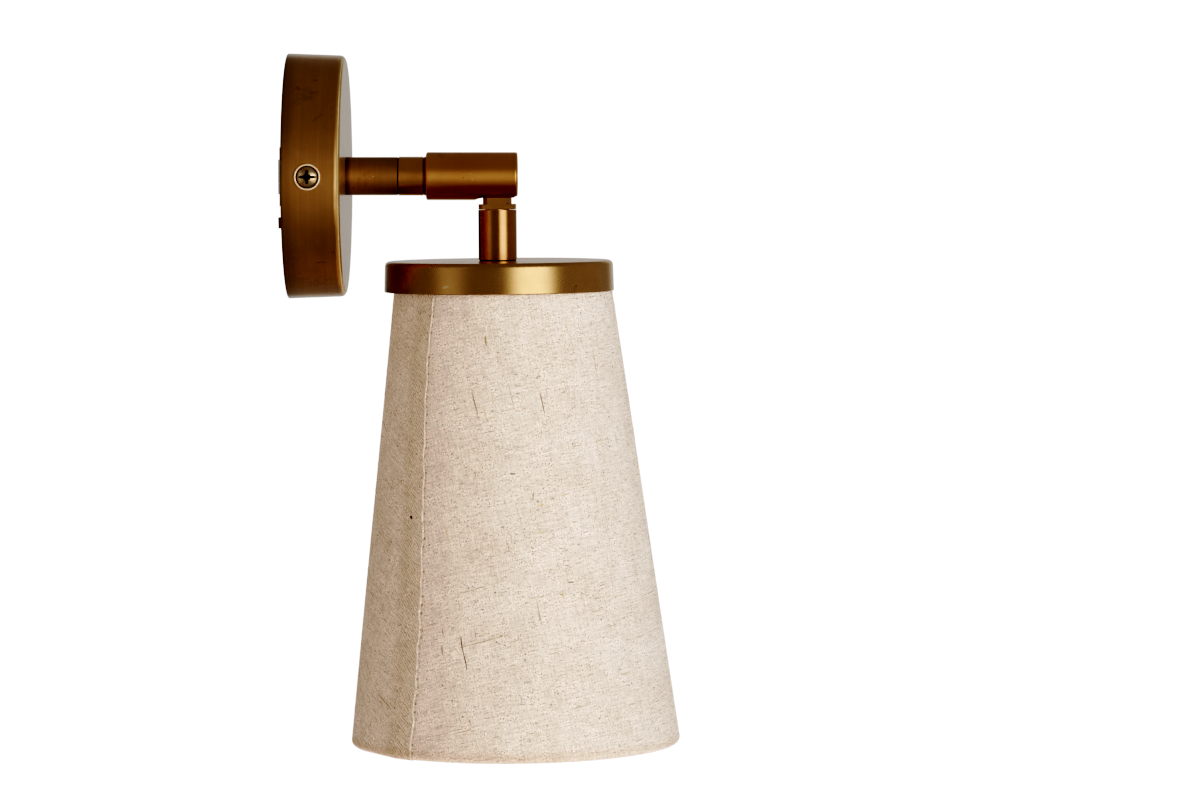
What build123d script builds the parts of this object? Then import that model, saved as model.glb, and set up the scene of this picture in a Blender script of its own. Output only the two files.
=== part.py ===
from build123d import *
import math
import os

# Wall light: spun brass wall cup, short arm, tilting knuckle, brass lid and a
# tapered linen shade that hangs from the lid.
#
# Frame, millimetres: the origin is on the wall plane at the middle of the wall
# cup.  +X points out of the wall along the arm, +Z is up.
# Pieces that hang below the knuckle are drawn in the head frame, with the tilt
# axis at its origin and the stem running down -Z, then placed with the small
# lean at which the light hangs.

# ---------------------------------------------------------------- wall cup
cup_x_rear = 1.0          # rim stands this far off the wall
cup_x_front = 25.0        # outer face
cup_r_rear = 50.97
cup_r_front = 50.2
cup_wall = 1.0
cup_corner = 2.4
cup_hole_r = 5.1
nib_angle = -158.4        # small locating nib on the rim, below the near side
side_screw_x = 12.0

# ---------------------------------------------------------------- bracket
bracket_t = 2.0
bracket_half_w = 12.0     # strip half width, Z
lug_y = 48.3              # outer face of the bent-up ends
lug_t = 2.2
lug_half_w = 7.0
lug_x = 18.0
cable_hole_r = 8.0
slot_pitch = 60.0         # wall fixing slots, centre to centre
slot_len = 12.0
slot_r = 2.5
m5_r = 2.45
m5_hole_r = 2.5

# ---------------------------------------------------------------- arm
arm_r = 7.95
arm_x_end = 46.6
seam_gap = 0.4
m10_r = 5.0               # M10 x 1 hollow stud
m10_bore_r = 3.6
m10_clear_r = 5.05
neck_x0 = 47.0
neck_x1 = 58.4
neck_r = 8.1

# ---------------------------------------------------------------- knuckle
sleeve_x1 = 96.4
sleeve_r = 10.0
sleeve_bore_r = 8.6
sleeve_edge = 0.8
sleeve_slot_half = 4.5
sleeve_slot_end = 83.0    # centre of the round inner end of the slot
fork_r = 8.5
fork_x1 = 95.8
fork_slot_half = 4.4
fork_slot_x0 = 80.5
fork_roof_z = 6.7
pivot_x = 87.9            # tilt axis, along Y
tongue_r = 6.0
tongue_half_t = 4.3
channel_half = 2.1        # wire passage between the two cheeks
collar_top = -11.65
collar_bottom = -13.85
collar_r = 7.85
collar_flat = 4.85
pin_r = 1.75

# ---------------------------------------------------------------- head
lean_deg = 0.475          # how far the head hangs out of plumb, away from wall
stem_r = 8.0
stem_top = -14.05
stem_bottom = -34.8
lid_top = -35.2
lid_bottom = -47.9
lid_r_top = 47.55
lid_r_bottom = 47.9
lid_t = 0.8
lid_skirt_t = 0.6
lid_corner = 2.0
lid_dx = 0.45             # the lid sits a little off the stem's axis

# ---------------------------------------------------------------- shade
shade_top = -41.7
shade_bottom = -237.3
shade_r_top = 44.75
shade_r_bottom = 69.0
shade_dx_top = 1.9        # the shade hangs a little askew under the lid
shade_dx_bottom = 5.7
fabric_t = 0.8
liner_t = 0.5
liner_gap = 0.1
hem_r = 2.0
wire_r = 1.15
spider_arm_r = 1.2

# ---------------------------------------------------------------- lampholder
holder_r = 14.0
holder_top = -40.4
holder_bottom = -90.0
bulb_r = 22.5
bulb_tip = -144.0

lead_r = 0.85


# ================================================================ helpers
def cyl_x(x0, x1, r, y=0.0, z=0.0):
    return Pos((x0 + x1) / 2, y, z) * Rot(0, 90, 0) * Cylinder(r, abs(x1 - x0))


def cyl_y(y0, y1, r, x=0.0, z=0.0):
    return Pos(x, (y0 + y1) / 2, z) * Rot(90, 0, 0) * Cylinder(r, abs(y1 - y0))


def cyl_z(z0, z1, r, x=0.0, y=0.0):
    return Pos(x, y, (z0 + z1) / 2) * Cylinder(r, abs(z1 - z0))


def box(x0, x1, y0, y1, z0, z1):
    return Pos((x0 + x1) / 2, (y0 + y1) / 2, (z0 + z1) / 2) * Box(
        abs(x1 - x0), abs(y1 - y0), abs(z1 - z0)
    )


def turned(points, x=0.0, y=0.0):
    """Solid of revolution about a vertical axis from (radius, z) points."""
    w = Polyline(*[(r, 0, z) for r, z in points], close=True)
    return Pos(x, y, 0) * revolve(make_face(w), Axis.Z, 360)


def turned_edges(edges, x=0.0, y=0.0):
    """Solid of revolution from edges drawn in the XZ plane."""
    w = Wire(edges)
    return Pos(x, y, 0) * revolve(Face(w), Axis.Z, 360)


def to_x(shape):
    """Turn a piece drawn about Z so that its +Z points along +X."""
    return Rot(0, 90, 0) * shape


def seg(a, b):
    return Edge.make_line(Vector(a[0], 0, a[1]), Vector(b[0], 0, b[1]))


def arc(cx, cz, r, a0, a1):
    am = (a0 + a1) / 2
    p = [
        Vector(cx + r * math.cos(math.radians(a)), 0, cz + r * math.sin(math.radians(a)))
        for a in (a0, am, a1)
    ]
    return Edge.make_three_point_arc(*p)


def hexagon(z0, z1, flats, r_hole, x=0.0, y=0.0):
    s = extrude(RegularPolygon(flats / 2, 6, major_radius=False), amount=abs(z1 - z0))
    s = Pos(x, y, min(z0, z1)) * s
    return s - cyl_z(z0 - 1 if z0 < z1 else z1 - 1, max(z0, z1) + 1, r_hole, x, y)


def pan_screw(head_r, head_h, shank_r, shank_len, cross=True, slot=True):
    """Pan-head screw along Z: head above z = 0, shank below."""
    dome = head_h * 0.45
    edges = [
        seg((0, -shank_len), (shank_r - 0.3, -shank_len)),
        seg((shank_r - 0.3, -shank_len), (shank_r, -shank_len + 0.5)),
        seg((shank_r, -shank_len + 0.5), (shank_r, 0)),
        seg((shank_r, 0), (head_r, 0)),
        seg((head_r, 0), (head_r, head_h * 0.35)),
    ]
    top = Edge.make_three_point_arc(
        Vector(head_r, 0, head_h * 0.35),
        Vector(head_r * 0.78, 0, head_h * 0.35 + dome * 0.95),
        Vector(0, 0, head_h),
    )
    edges += [top, seg((0, head_h), (0, -shank_len))]
    s = turned_edges(edges)
    w = head_r * 0.2
    if cross:
        for a in (0, 90):
            s = s - Rot(0, 0, a) * box(
                -head_r * 0.5, head_r * 0.5, -w / 2 - 0.1, w / 2 + 0.1, head_h * 0.25, head_h + 1
            )
    if slot:
        s = s - box(-head_r - 1, head_r + 1, -w / 2, w / 2, head_h * 0.52, head_h + 1)
    return s


def rimmed_screw(head_r, shank_r, shank_len):
    """Screw along Z with a raised rim, a groove and a low dome with a combined
    cross and slot: head above z = 0, shank below."""
    g0, g1 = head_r - 0.8, head_r - 1.35
    edges = [
        seg((0, -shank_len), (shank_r - 0.3, -shank_len)),
        seg((shank_r - 0.3, -shank_len), (shank_r, -shank_len + 0.5)),
        seg((shank_r, -shank_len + 0.5), (shank_r, 0)),
        seg((shank_r, 0), (head_r, 0)),
        seg((head_r, 0), (head_r, 1.0)),
        Edge.make_three_point_arc(
            Vector(head_r, 0, 1.0), Vector((head_r + g0) / 2, 0, 1.4), Vector(g0, 0, 1.0)
        ),
        seg((g0, 1.0), (g0, 0.5)),
        seg((g0, 0.5), (g1, 0.5)),
        seg((g1, 0.5), (g1, 1.15)),
        Edge.make_three_point_arc(
            Vector(g1, 0, 1.15), Vector(g1 * 0.62, 0, 1.95), Vector(0, 0, 2.3)
        ),
        seg((0, 2.3), (0, -shank_len)),
    ]
    s = turned_edges(edges)
    for a in (0, 90):
        s -= Rot(0, 0, a) * box(-2.75, 2.75, -0.5, 0.5, 0.75, 3)
    s -= Pos(0, 0, 1.6) * Cone(bottom_radius=0.5, top_radius=1.75, height=1.6)
    s -= box(-6, 6, -0.45, 0.45, 1.35, 3)
    return s


def lead(points, radii, r):
    path = FilletPolyline(*points, radius=radii)
    start = path @ 0
    direction = path % 0
    sec = Plane(origin=start, z_dir=direction) * Circle(r)
    return sweep(sec, path=path)


def head(shape):
    return Pos(pivot_x, 0, 0) * Rot(0, -lean_deg, 0) * shape


parts = {}

# ================================================================ wall side

# mounting bracket: steel strip, ends bent outward to take the side screws,
# one tab down for the terminal block and one up for the earth screw
strip = box(0, bracket_t, -lug_y + 0.6, lug_y - 0.6, -lug_half_w, lug_half_w)
strip += box(0, bracket_t, -40, 40, -bracket_half_w, bracket_half_w)
strip += box(0, bracket_t, -14, 14, -35, 0)
strip += box(0, bracket_t, -8, 8, 0, 25)
for s in (-1, 1):
    y0, y1 = sorted((s * lug_y, s * (lug_y - lug_t)))
    strip += box(0, lug_x, y0, y1, -lug_half_w, lug_half_w)
outer_bends = strip.edges().filter_by(Axis.Z).filter_by_position(
    Axis.X, -0.01, 0.01
).filter_by(lambda e: abs(abs(e.center().Y) - lug_y) < 0.01)
strip = fillet(outer_bends, 1.6)
bracket = strip - cyl_x(-1, 3, cable_hole_r)
for s in (-1, 1):
    cy = s * slot_pitch / 2
    half = slot_len / 2 - slot_r
    bracket -= box(-1, 3, cy - half, cy + half, -slot_r, slot_r)
    bracket -= cyl_x(-1, 3, slot_r, cy - half)
    bracket -= cyl_x(-1, 3, slot_r, cy + half)
    bracket -= cyl_y(s * (lug_y + 1), s * (lug_y - lug_t - 1), m5_hole_r, side_screw_x)
bracket -= cyl_x(-1, 3, 2.05, 0, 17)
for cy in (-5, 5):
    bracket -= cyl_x(-1, 3, 1.3, cy, -24)
parts["mounting_bracket"] = bracket

# wall cup: spun shell, flat face outward, open to the wall
c = cup_corner
ci = cup_corner - cup_wall
slope = (cup_r_rear - cup_r_front) / (cup_x_front - cup_x_rear)
xf = cup_x_front
r_at = lambda x: cup_r_rear - slope * (x - cup_x_rear)
edges = [
    seg((cup_hole_r, xf), (r_at(xf) - c, xf)),
    arc(r_at(xf) - c, xf - c, c, 90, 0),
    seg((r_at(xf), xf - c), (cup_r_rear, cup_x_rear + 0.35)),
    seg((cup_r_rear, cup_x_rear + 0.35), (cup_r_rear - 0.35, cup_x_rear)),
    seg((cup_r_rear - 0.35, cup_x_rear), (cup_r_rear - cup_wall, cup_x_rear)),
    seg((cup_r_rear - cup_wall, cup_x_rear), (r_at(xf) - cup_wall, xf - c)),
    arc(r_at(xf) - c, xf - c, ci, 0, 90),
    seg((r_at(xf) - c, xf - cup_wall), (cup_hole_r, xf - cup_wall)),
    seg((cup_hole_r, xf - cup_wall), (cup_hole_r, xf)),
]
cup = to_x(turned_edges(edges))
for s in (-1, 1):
    cup -= cyl_y(s * 44, s * 54, 2.75, side_screw_x)
# the nib: a short tongue of the rim that reaches back to the wall
nib = box(0.05, 2.2, cup_r_rear - cup_wall, cup_r_rear + 0.25, -2.2, 2.2)
nib = Rot(nib_angle, 0, 0) * nib
cup += nib
parts["backplate_cup"] = cup

# side screws: rimmed head, through the cup wall into the bracket's lugs
scr = rimmed_screw(5.4, m5_r, 7.0)
seat = r_at(side_screw_x - 5.4) + 0.04
near = Pos(side_screw_x, -seat, 0) * Rot(90, 0, 0) * scr
far = Pos(side_screw_x, seat, 0) * Rot(-90, 0, 0) * scr
parts["backplate_screws"] = Compound([near, far])

# earth screw, its washer and the crimped ring of the earth lead
es = Pos(3.5, 0, 17) * Rot(0, 90, 0) * pan_screw(3.8, 2.2, 1.95, 3.2, cross=True, slot=False)
parts["earth_screw"] = es
parts["earth_washer"] = cyl_x(2.95, 3.45, 4.4, 0, 17) - cyl_x(2, 4, 2.15, 0, 17)
tag = cyl_x(2.05, 2.85, 3.6, 0, 17) - cyl_x(1, 4, 2.15, 0, 17)
tag += box(2.05, 2.85, -1.6, 1.6, 9.5, 14.4)
barrel = cyl_z(7.0, 11.0, 1.7, 3.75, 0) - cyl_z(6.0, 9.6, 1.0, 3.75, 0)
parts["earth_ring_tag"] = tag + barrel

# terminal block: three poles, brass tubes in a moulded body
tb = box(2.1, 11.0, -15, 15, -33, -15)
tb = fillet(tb.edges().filter_by(Axis.X), 1.0)
pole_y = (-10.0, 0.0, 10.0)
screw_z = (-19.5, -28.5)
for py in pole_y:
    for pz in screw_z:
        tb += cyl_x(10.5, 15.5, 3.2, py, pz)
for py in pole_y:
    for pz in screw_z:
        tb -= cyl_x(7.0, 16.5, 1.75, py, pz)
    tb -= cyl_z(-34, -14, 2.45, 6.3, py)
for cy in (-5, 5):
    tb -= cyl_x(1, 12, 1.35, cy, -24)
    tb -= cyl_x(6.0, 12, 2.6, cy, -24)
parts["terminal_block"] = tb
tubes, tscrews = [], []
for py in pole_y:
    t = cyl_z(-32, -16, 2.4, 6.3, py) - cyl_z(-33, -15, 1.6, 6.3, py)
    for pz in screw_z:
        t -= cyl_x(6.3, 12, 1.5, py, pz)
        sc = cyl_x(7.4, 14.2, 1.45, py, pz) - box(13.5, 15, py - 2, py + 2, pz - 0.3, pz + 0.3)
        tscrews.append(sc)
    tubes.append(t)
parts["terminal_tubes"] = Compound(tubes)
parts["terminal_screws"] = Compound(tscrews)
fix = Pos(6.05, 0, 0) * Rot(0, 90, 0) * pan_screw(2.5, 1.7, 1.25, 5.8, cross=True, slot=False)
parts["terminal_fixing_screws"] = Compound([Pos(0, -5, -24) * fix, Pos(0, 5, -24) * fix])

# arm: turned tube, hollow stud, washer and lock nut
arm = cyl_x(cup_x_front, arm_x_end, arm_r) - cyl_x(20, 50, m10_clear_r)
end_edges = arm.edges().filter_by(GeomType.CIRCLE).filter_by(
    lambda e: abs(e.radius - arm_r) < 0.01 and abs(e.center().X - arm_x_end) < 0.01
)
arm = chamfer(end_edges, 0.12)
parts["arm_tube"] = arm
parts["arm_nipple"] = cyl_x(18.6, 55.0, m10_r) - cyl_x(17, 57, m10_bore_r)
parts["arm_locknut"] = to_x(hexagon(20.2, 23.2, 14.0, m10_clear_r))
star = to_x(turned([(m10_clear_r, 23.25), (9.0, 23.25), (9.0, 23.95), (m10_clear_r, 23.95)]))
for k in range(12):
    star -= Rot(30 * k, 0, 0) * box(22, 25, 8.0, 10, -0.5, 0.5)
parts["arm_star_washer"] = star
parts["swivel_washer"] = cyl_x(arm_x_end + 0.02, neck_x0 - 0.08, 7.7) - cyl_x(45, 48, m10_clear_r)
parts["swivel_nut"] = cyl_x(52.3, 54.8, 6.5) - cyl_x(51, 56, m10_clear_r) - box(
    53.9, 55.5, -7, 7, -0.7, 0.7
)
parts["swivel_spring_washer"] = cyl_x(51.35, 52.2, 6.4) - cyl_x(51, 53, m10_clear_r)

# supply leads inside the cup and the arm, one length up to the swivel
live = lead([(6.3, -10, -18.5), (6.3, -10, -7), (12.5, -1.1, 0), (54.5, -1.1, 0)], 3.5, lead_r)
neutral = lead([(6.3, 10, -18.5), (6.3, 10, -7), (12.5, 1.1, 0), (54.5, 1.1, 0)], 3.5, lead_r)
earth = lead([(6.3, 0, -18.5), (6.3, 0, -2), (3.75, 0, 3.5), (3.75, 0, 9.4)], 4.0, lead_r)
parts["lead_live_arm"] = live
parts["lead_neutral_arm"] = neutral
parts["lead_earth"] = earth

# ================================================================ knuckle

# neck: turns on the hollow stud; its front socket takes the fork
neck = cyl_x(neck_x0, neck_x1 - 0.05, neck_r) - cyl_x(46, 52, m10_clear_r)
neck -= cyl_x(51.3, 60, 6.65)
groove = cyl_x(57.15, 57.6, 9) - cyl_x(57.0, 57.7, neck_r - 0.25)
neck -= groove
ce = neck.edges().filter_by(GeomType.CIRCLE).filter_by(
    lambda e: abs(e.radius - neck_r) < 0.01 and abs(e.center().X - neck_x0) < 0.01
)
neck = chamfer(ce, 0.12)
parts["knuckle_neck"] = neck

# fork: threaded into the neck, two ears around the tongue
fork = cyl_x(neck_x1 + 1.25, fork_x1, fork_r) + cyl_x(55.4, neck_x1 + 2, 6.6)
fork -= cyl_x(50, fork_slot_x0 + 1, 4.2)
fork -= box(fork_slot_x0, 100, -fork_slot_half, fork_slot_half, -12, fork_roof_z)
for s in (-1, 1):
    fork -= cyl_y(s * 3, s * 10, 2.55, pivot_x, 0)
parts["knuckle_fork"] = fork

# sleeve: slides over the fork and hides the pivot; slotted below, open in front
sl = cyl_x(neck_x1, sleeve_x1, sleeve_r)
se = sl.edges().filter_by(GeomType.CIRCLE)
sl = fillet(se, sleeve_edge)
sl -= cyl_x(neck_x1 + 1.2, 100, sleeve_bore_r)
sl -= cyl_x(50, 70, 6.75)
sl -= box(sleeve_slot_end, 100, -sleeve_slot_half, sleeve_slot_half, -12, 0)
sl -= cyl_z(-12, 0, sleeve_slot_half, sleeve_slot_end, 0)
relief = box(pivot_x + 3, 100, -5.3, 5.3, -12, -3) - cyl_y(-6, 6, 11.3, pivot_x, 0)
sl -= relief
parts["knuckle_sleeve"] = sl

# pivot screws: one in each ear, plain noses carry the tongue
pins = []
for s in (-1, 1):
    p = cyl_y(s * 4.45, s * 8.2, 2.5, pivot_x, 0) + cyl_y(s * 2.3, s * 4.6, pin_r, pivot_x, 0)
    p -= box(pivot_x - 3, pivot_x + 3, *sorted((s * 7.5, s * 9)), -0.4, 0.4)
    pins.append(p)
parts["pivot_screws"] = Compound(pins)

kl = [
    cyl_x(57.0, 78.5, lead_r, -1.1, 0),
    cyl_x(57.0, 78.5, lead_r, 1.1, 0),
]
parts["lead_live_knuckle"] = kl[0]
parts["lead_neutral_knuckle"] = kl[1]

# ================================================================ head

# tongue: round bar with two flats, cheeks at the top, collar and spigot below
bar = cyl_z(0, collar_top, tongue_r) + cyl_y(-tongue_half_t, tongue_half_t, tongue_r)
bar = bar & box(-7, 7, -tongue_half_t, tongue_half_t, -14, 7)
bar -= box(-7, 7, -channel_half, channel_half, -6.6, 7)
for s in (-1, 1):
    bar -= cyl_y(s * (tongue_half_t - 0.55), s * 6, 5.0)
bar -= cyl_y(-6, 6, pin_r + 0.05)
collar = cyl_z(collar_top, collar_bottom, collar_r) & box(
    -10, 10, -collar_flat, collar_flat, collar_bottom, collar_top
)
tongue = bar + collar + cyl_z(collar_bottom + 0.1, -21.0, m10_r)
tongue -= cyl_z(-22, -5, channel_half)
parts["knuckle_tongue"] = head(tongue)
fw = []
for s in (-1, 1):
    w = cyl_y(s * (tongue_half_t - 0.5), s * (tongue_half_t + 0.05), 4.9) - cyl_y(
        s * 3, s * 6, pin_r + 0.08
    )
    fw.append(w)
parts["friction_washers"] = head(Compound(fw))

# stem tube, hollow stud, gasket
st = cyl_z(stem_top, stem_bottom, stem_r) - cyl_z(-10, -40, m10_clear_r)
parts["stem_tube"] = head(st)
parts["stem_gasket"] = head(cyl_z(stem_bottom - 0.02, lid_top + 0.02, 7.5) - cyl_z(-30, -40, m10_clear_r))
parts["stem_nipple"] = head(cyl_z(-26.0, -46.5, m10_r) - cyl_z(-25, -48, m10_bore_r))

# lid: spun brass cap over the top of the shade
r0, r1 = lid_r_top, lid_r_bottom
lc, li = lid_corner, lid_corner - lid_t
edges = [
    seg((cup_hole_r, lid_top), (r0 - lc, lid_top)),
    arc(r0 - lc, lid_top - lc, lc, 90, 0),
    seg((r0, lid_top - lc), (r1, lid_bottom + 0.25)),
    seg((r1, lid_bottom + 0.25), (r1 - 0.2, lid_bottom)),
    seg((r1 - 0.2, lid_bottom), (r1 - lid_skirt_t, lid_bottom)),
    seg((r1 - lid_skirt_t, lid_bottom), (r0 - lid_t, lid_top - lc)),
    arc(r0 - lc, lid_top - lc, li, 0, 90),
    seg((r0 - lc, lid_top - lid_t), (cup_hole_r, lid_top - lid_t)),
    seg((cup_hole_r, lid_top - lid_t), (cup_hole_r, lid_top)),
]
lid = Pos(lid_dx, 0, 0) * turned_edges(edges)
lid -= cyl_z(-30, -40, cup_hole_r)
parts["lid"] = head(lid)
z = lid_top - lid_t
parts["lid_washer"] = head(cyl_z(z - 0.03, z - 1.0, 9.0) - cyl_z(-30, -42, m10_clear_r))
parts["lid_locknut"] = head(hexagon(z - 4.0, z - 1.05, 14.0, m10_clear_r))

# lampholder: cap, insert, threaded skirt, screw shell and contacts
ht = holder_top
cap_pts = [
    (m10_clear_r, ht), (8.6, ht), (9.4, ht - 0.8), (9.4, ht - 5.5), (12.6, ht - 10.0),
    (13.4, ht - 11.5), (13.4, -56.0), (11.9, -56.0), (11.9, ht - 11.8), (8.0, ht - 7.5),
    (m10_clear_r, ht - 7.5),
]
parts["lampholder_cap"] = head(turned(cap_pts))
ins = cyl_z(-52.5, -66.0, 11.2) - cyl_z(-51, -60, 2.0) - cyl_z(-52, -68, 1.2, 7.8, 0)
ins -= box(-9.5, -4.0, -3, 3, -57, -50)
ins -= box(4.0, 9.5, -3, 3, -57, -50)
parts["lampholder_insert"] = head(ins)
skirt_pts = [(12.45, -56.2), (holder_r, -56.2)]
n_thread = 8
z0 = -60.0
for i in range(n_thread):
    zz = z0 - 2.0 * i
    skirt_pts += [(holder_r, zz), (holder_r - 0.6, zz - 0.7), (holder_r - 0.6, zz - 1.1), (holder_r, zz - 1.8)]
skirt_pts += [(holder_r, -88.5), (holder_r - 0.8, holder_bottom), (12.45, holder_bottom)]
parts["lampholder_skirt"] = head(turned(skirt_pts))
shell = cyl_z(-67.5, -86.8, 7.75) - cyl_z(-66, -90, 7.3)
carrier = cyl_z(-66.1, -86.9, 12.35) - cyl_z(-67.4, -90, 7.85) - cyl_z(-60, -70, 2.6)
parts["lampholder_carrier"] = head(carrier)
parts["lampholder_shell"] = head(shell)
contact = cyl_z(-66.15, -68.2, 1.9)
screws = [cyl_z(-52.8, -56.6, 1.4, sx, 0) - box(sx - 2, sx + 2, -0.3, 0.3, -53.4, -52) for sx in (-6.8, 6.8)]
parts["lampholder_contact"] = head(contact)
parts["lampholder_terminal_screws"] = head(Compound(screws))

# rings that clamp the shade's gallery
def ring_at(zt, zb):
    pts = [(holder_r + 0.08, zt), (19.2, zt), (20.0, zt - 0.8), (20.0, zb + 0.8), (19.2, zb), (holder_r + 0.08, zb)]
    r = turned(pts)
    for k in range(24):
        r -= Rot(0, 0, 15 * k) * cyl_z(zt + 1, zb - 1, 0.6, 20.3, 0)
    return r


parts["shade_rings"] = head(Compound([ring_at(-61.6, -64.9), ring_at(-66.7, -70.2)]))

# shade geometry: tapered, its centre line a little askew
def frac(z):
    return (shade_top - z) / (shade_top - shade_bottom)


def shade_r(z):
    return shade_r_top + (shade_r_bottom - shade_r_top) * frac(z)


def shade_dx(z):
    return shade_dx_top + (shade_dx_bottom - shade_dx_top) * frac(z)


def tapered(z0, z1, inset):
    """Slice, between two level planes, of the cone that runs along the
    shade's slightly tilted centre line."""
    tilt = math.degrees(math.atan2(shade_dx_bottom - shade_dx_top, shade_top - shade_bottom))
    za, zb = shade_top + 20, shade_bottom - 20
    length = (za - zb) / math.cos(math.radians(tilt))
    zm = (za + zb) / 2
    # a tilted cone's level slices sit a little off its axis
    shift = -shade_r(z1) * math.tan(math.radians(tilt)) * (shade_r(zb) - shade_r(za)) / length
    cone = Cone(shade_r(zb) - inset, shade_r(za) - inset, length)
    cone = Pos(shade_dx(zm) + shift, 0, zm) * Rot(0, -tilt, 0) * cone
    zlo, zhi = sorted((z0, z1))
    return cone & box(-120, 120, -120, 120, zlo, zhi)


# wire frame: gallery ring, three arms and the top ring, welded
zr_top = shade_top - hem_r
rr_top = shade_r(zr_top) - hem_r
dx_top = shade_dx(zr_top)
gal = cyl_z(-64.95, -66.65, 21.6) - cyl_z(-60, -70, holder_r + 0.25)
frame_solid = gal + Pos(dx_top, 0, zr_top) * Torus(rr_top, wire_r)
arm_angles = (60, 180, 300)
for ang in arm_angles:
    ca, sa = math.cos(math.radians(ang)), math.sin(math.radians(ang))
    p0 = Vector(21.3 * ca, 21.3 * sa, -65.8)
    p1 = Vector(26.5 * ca, 26.5 * sa, -65.8)
    p2 = Vector(dx_top + (rr_top - 0.2) * ca, (rr_top - 0.2) * sa, zr_top - 0.2)
    path = FilletPolyline(p0, p1, p2, radius=5.0)
    sec = Plane(origin=path @ 0, z_dir=path % 0) * Circle(spider_arm_r)
    frame_solid += sweep(sec, path=path)
parts["shade_top_frame"] = head(frame_solid)

# bottom ring
zr = shade_bottom + hem_r
rr = shade_r(zr) - hem_r
dx_b = shade_dx(shade_bottom + 6.0)
parts["shade_bottom_ring"] = head(Pos(dx_b, 0, zr) * Torus(rr, wire_r))

# linen skin: a tapered shell, and its edges rolled over both rings
zh = shade_bottom + 6.0
zt = shade_top - 4.5
fab = tapered(zt - 0.05, zh + 0.05, 0) - tapered(zt - 0.05, zh + 0.05, fabric_t)
ft = fabric_t
ri = shade_r(zh)
hem = [
    seg((ri, zh), (rr + hem_r, zr)),
    arc(rr, zr, hem_r, 0, -180),
    seg((rr - hem_r, zr), (rr - hem_r, zr + 3.0)),
    seg((rr - hem_r, zr + 3.0), (rr - hem_r + ft, zr + 3.0)),
    seg((rr - hem_r + ft, zr + 3.0), (rr - hem_r + ft, zr)),
    arc(rr, zr, hem_r - ft, -180, 0),
    seg((rr + hem_r - ft, zr), (ri - ft, zh)),
    seg((ri - ft, zh), (ri, zh)),
]
parts["shade_edge_bottom"] = head(turned_edges(hem, x=dx_b))
rt = shade_r(zt)
dxt = shade_dx(zt)
rrt = rr_top
hem2 = [
    seg((rt, zt), (rrt + hem_r, zr_top)),
    arc(rrt, zr_top, hem_r, 0, 180),
    seg((rrt - hem_r, zr_top), (rrt - hem_r, zr_top - 3.0)),
    seg((rrt - hem_r, zr_top - 3.0), (rrt - hem_r + ft, zr_top - 3.0)),
    seg((rrt - hem_r + ft, zr_top - 3.0), (rrt - hem_r + ft, zr_top)),
    arc(rrt, zr_top, hem_r - ft, 180, 0),
    seg((rrt + hem_r - ft, zr_top), (rt - ft, zt)),
    seg((rt - ft, zt), (rt, zt)),
]
top_hem = turned_edges(hem2, x=dxt)
for ang in arm_angles:
    top_hem -= Pos(dxt, 0, 0) * (Rot(0, 0, ang) * box(rrt - 4, rrt - 0.9, -2.2, 2.2, zr_top - 4, zr_top + 0.6))
parts["shade_edge_top"] = head(top_hem)
parts["shade_fabric"] = head(fab)

# stiff liner laminated behind the linen
zl0, zl1 = zt - 0.1, zh + 0.1
liner = tapered(zl0, zl1, fabric_t + liner_gap) - tapered(zl0, zl1, fabric_t + liner_gap + liner_t)
parts["shade_liner"] = head(liner)

# bulb: small round opal bulb with a 14 mm screw cap
sc_z = bulb_tip + bulb_r
neck_z = -88.4
pts = []
for i in range(0, 25):
    a = math.radians(-90 + i * 5.6)
    pts.append((bulb_r * math.cos(a), sc_z + bulb_r * math.sin(a)))
wall = 0.9
outer_pts = [(max(p[0], 0.0), p[1]) for p in pts]
outer_pts += [(11.4, -95.5), (10.2, -91.5), (9.4, neck_z)]
inner = []
for i in range(0, 25):
    a = math.radians(-90 + i * 5.6)
    inner.append(((bulb_r - wall) * math.cos(a), sc_z + (bulb_r - wall) * math.sin(a)))
inner_pts = [(max(p[0], 0.0), p[1]) for p in inner]
inner_pts += [(11.4 - wall, -95.2), (10.2 - wall, -91.3), (9.4 - wall, neck_z)]
loop = outer_pts + inner_pts[::-1]
glass = turned(loop)
parts["bulb_glass"] = head(glass)
cap = [(0.0, -70.6), (5.0, -70.6), (6.3, -71.6)]
for i in range(5):
    zz = -72.4 - 2.82 * i
    cap += [(6.85, zz), (6.85, zz - 0.7), (6.35, zz - 1.4), (6.35, zz - 2.1)]
cap += [(6.7, -87.2), (8.3, -88.35), (0.0, -88.35)]
parts["bulb_cap"] = head(turned(cap))
parts["bulb_contact"] = head(turned([(0, -68.3), (1.8, -68.5), (2.2, -69.2), (4.6, -70.55), (0, -70.55)]))

# leads down the stem to the lampholder
hl = lead([(0, -1.0, -3.0), (0, -1.0, -47.7), (-6.8, -0.6, -50.2), (-6.8, -0.6, -52.6)], 1.4, lead_r)
hn = lead([(0, 1.0, -3.0), (0, 1.0, -47.7), (6.8, 0.6, -50.2), (6.8, 0.6, -52.6)], 1.4, lead_r)
parts["lead_live_head"] = head(hl)
parts["lead_neutral_head"] = head(hn)

# ================================================================ write
os.makedirs("parts", exist_ok=True)
for name, shape in parts.items():
    export_step(shape, "parts/%s.step" % name)
print(len(parts), "nodes written")
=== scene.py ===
"""Looks of the fabric shade wall light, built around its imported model.

Metres, +Z up, the wall in the plane X = 0, the light reaching out along +X.
"""

import math

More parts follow.
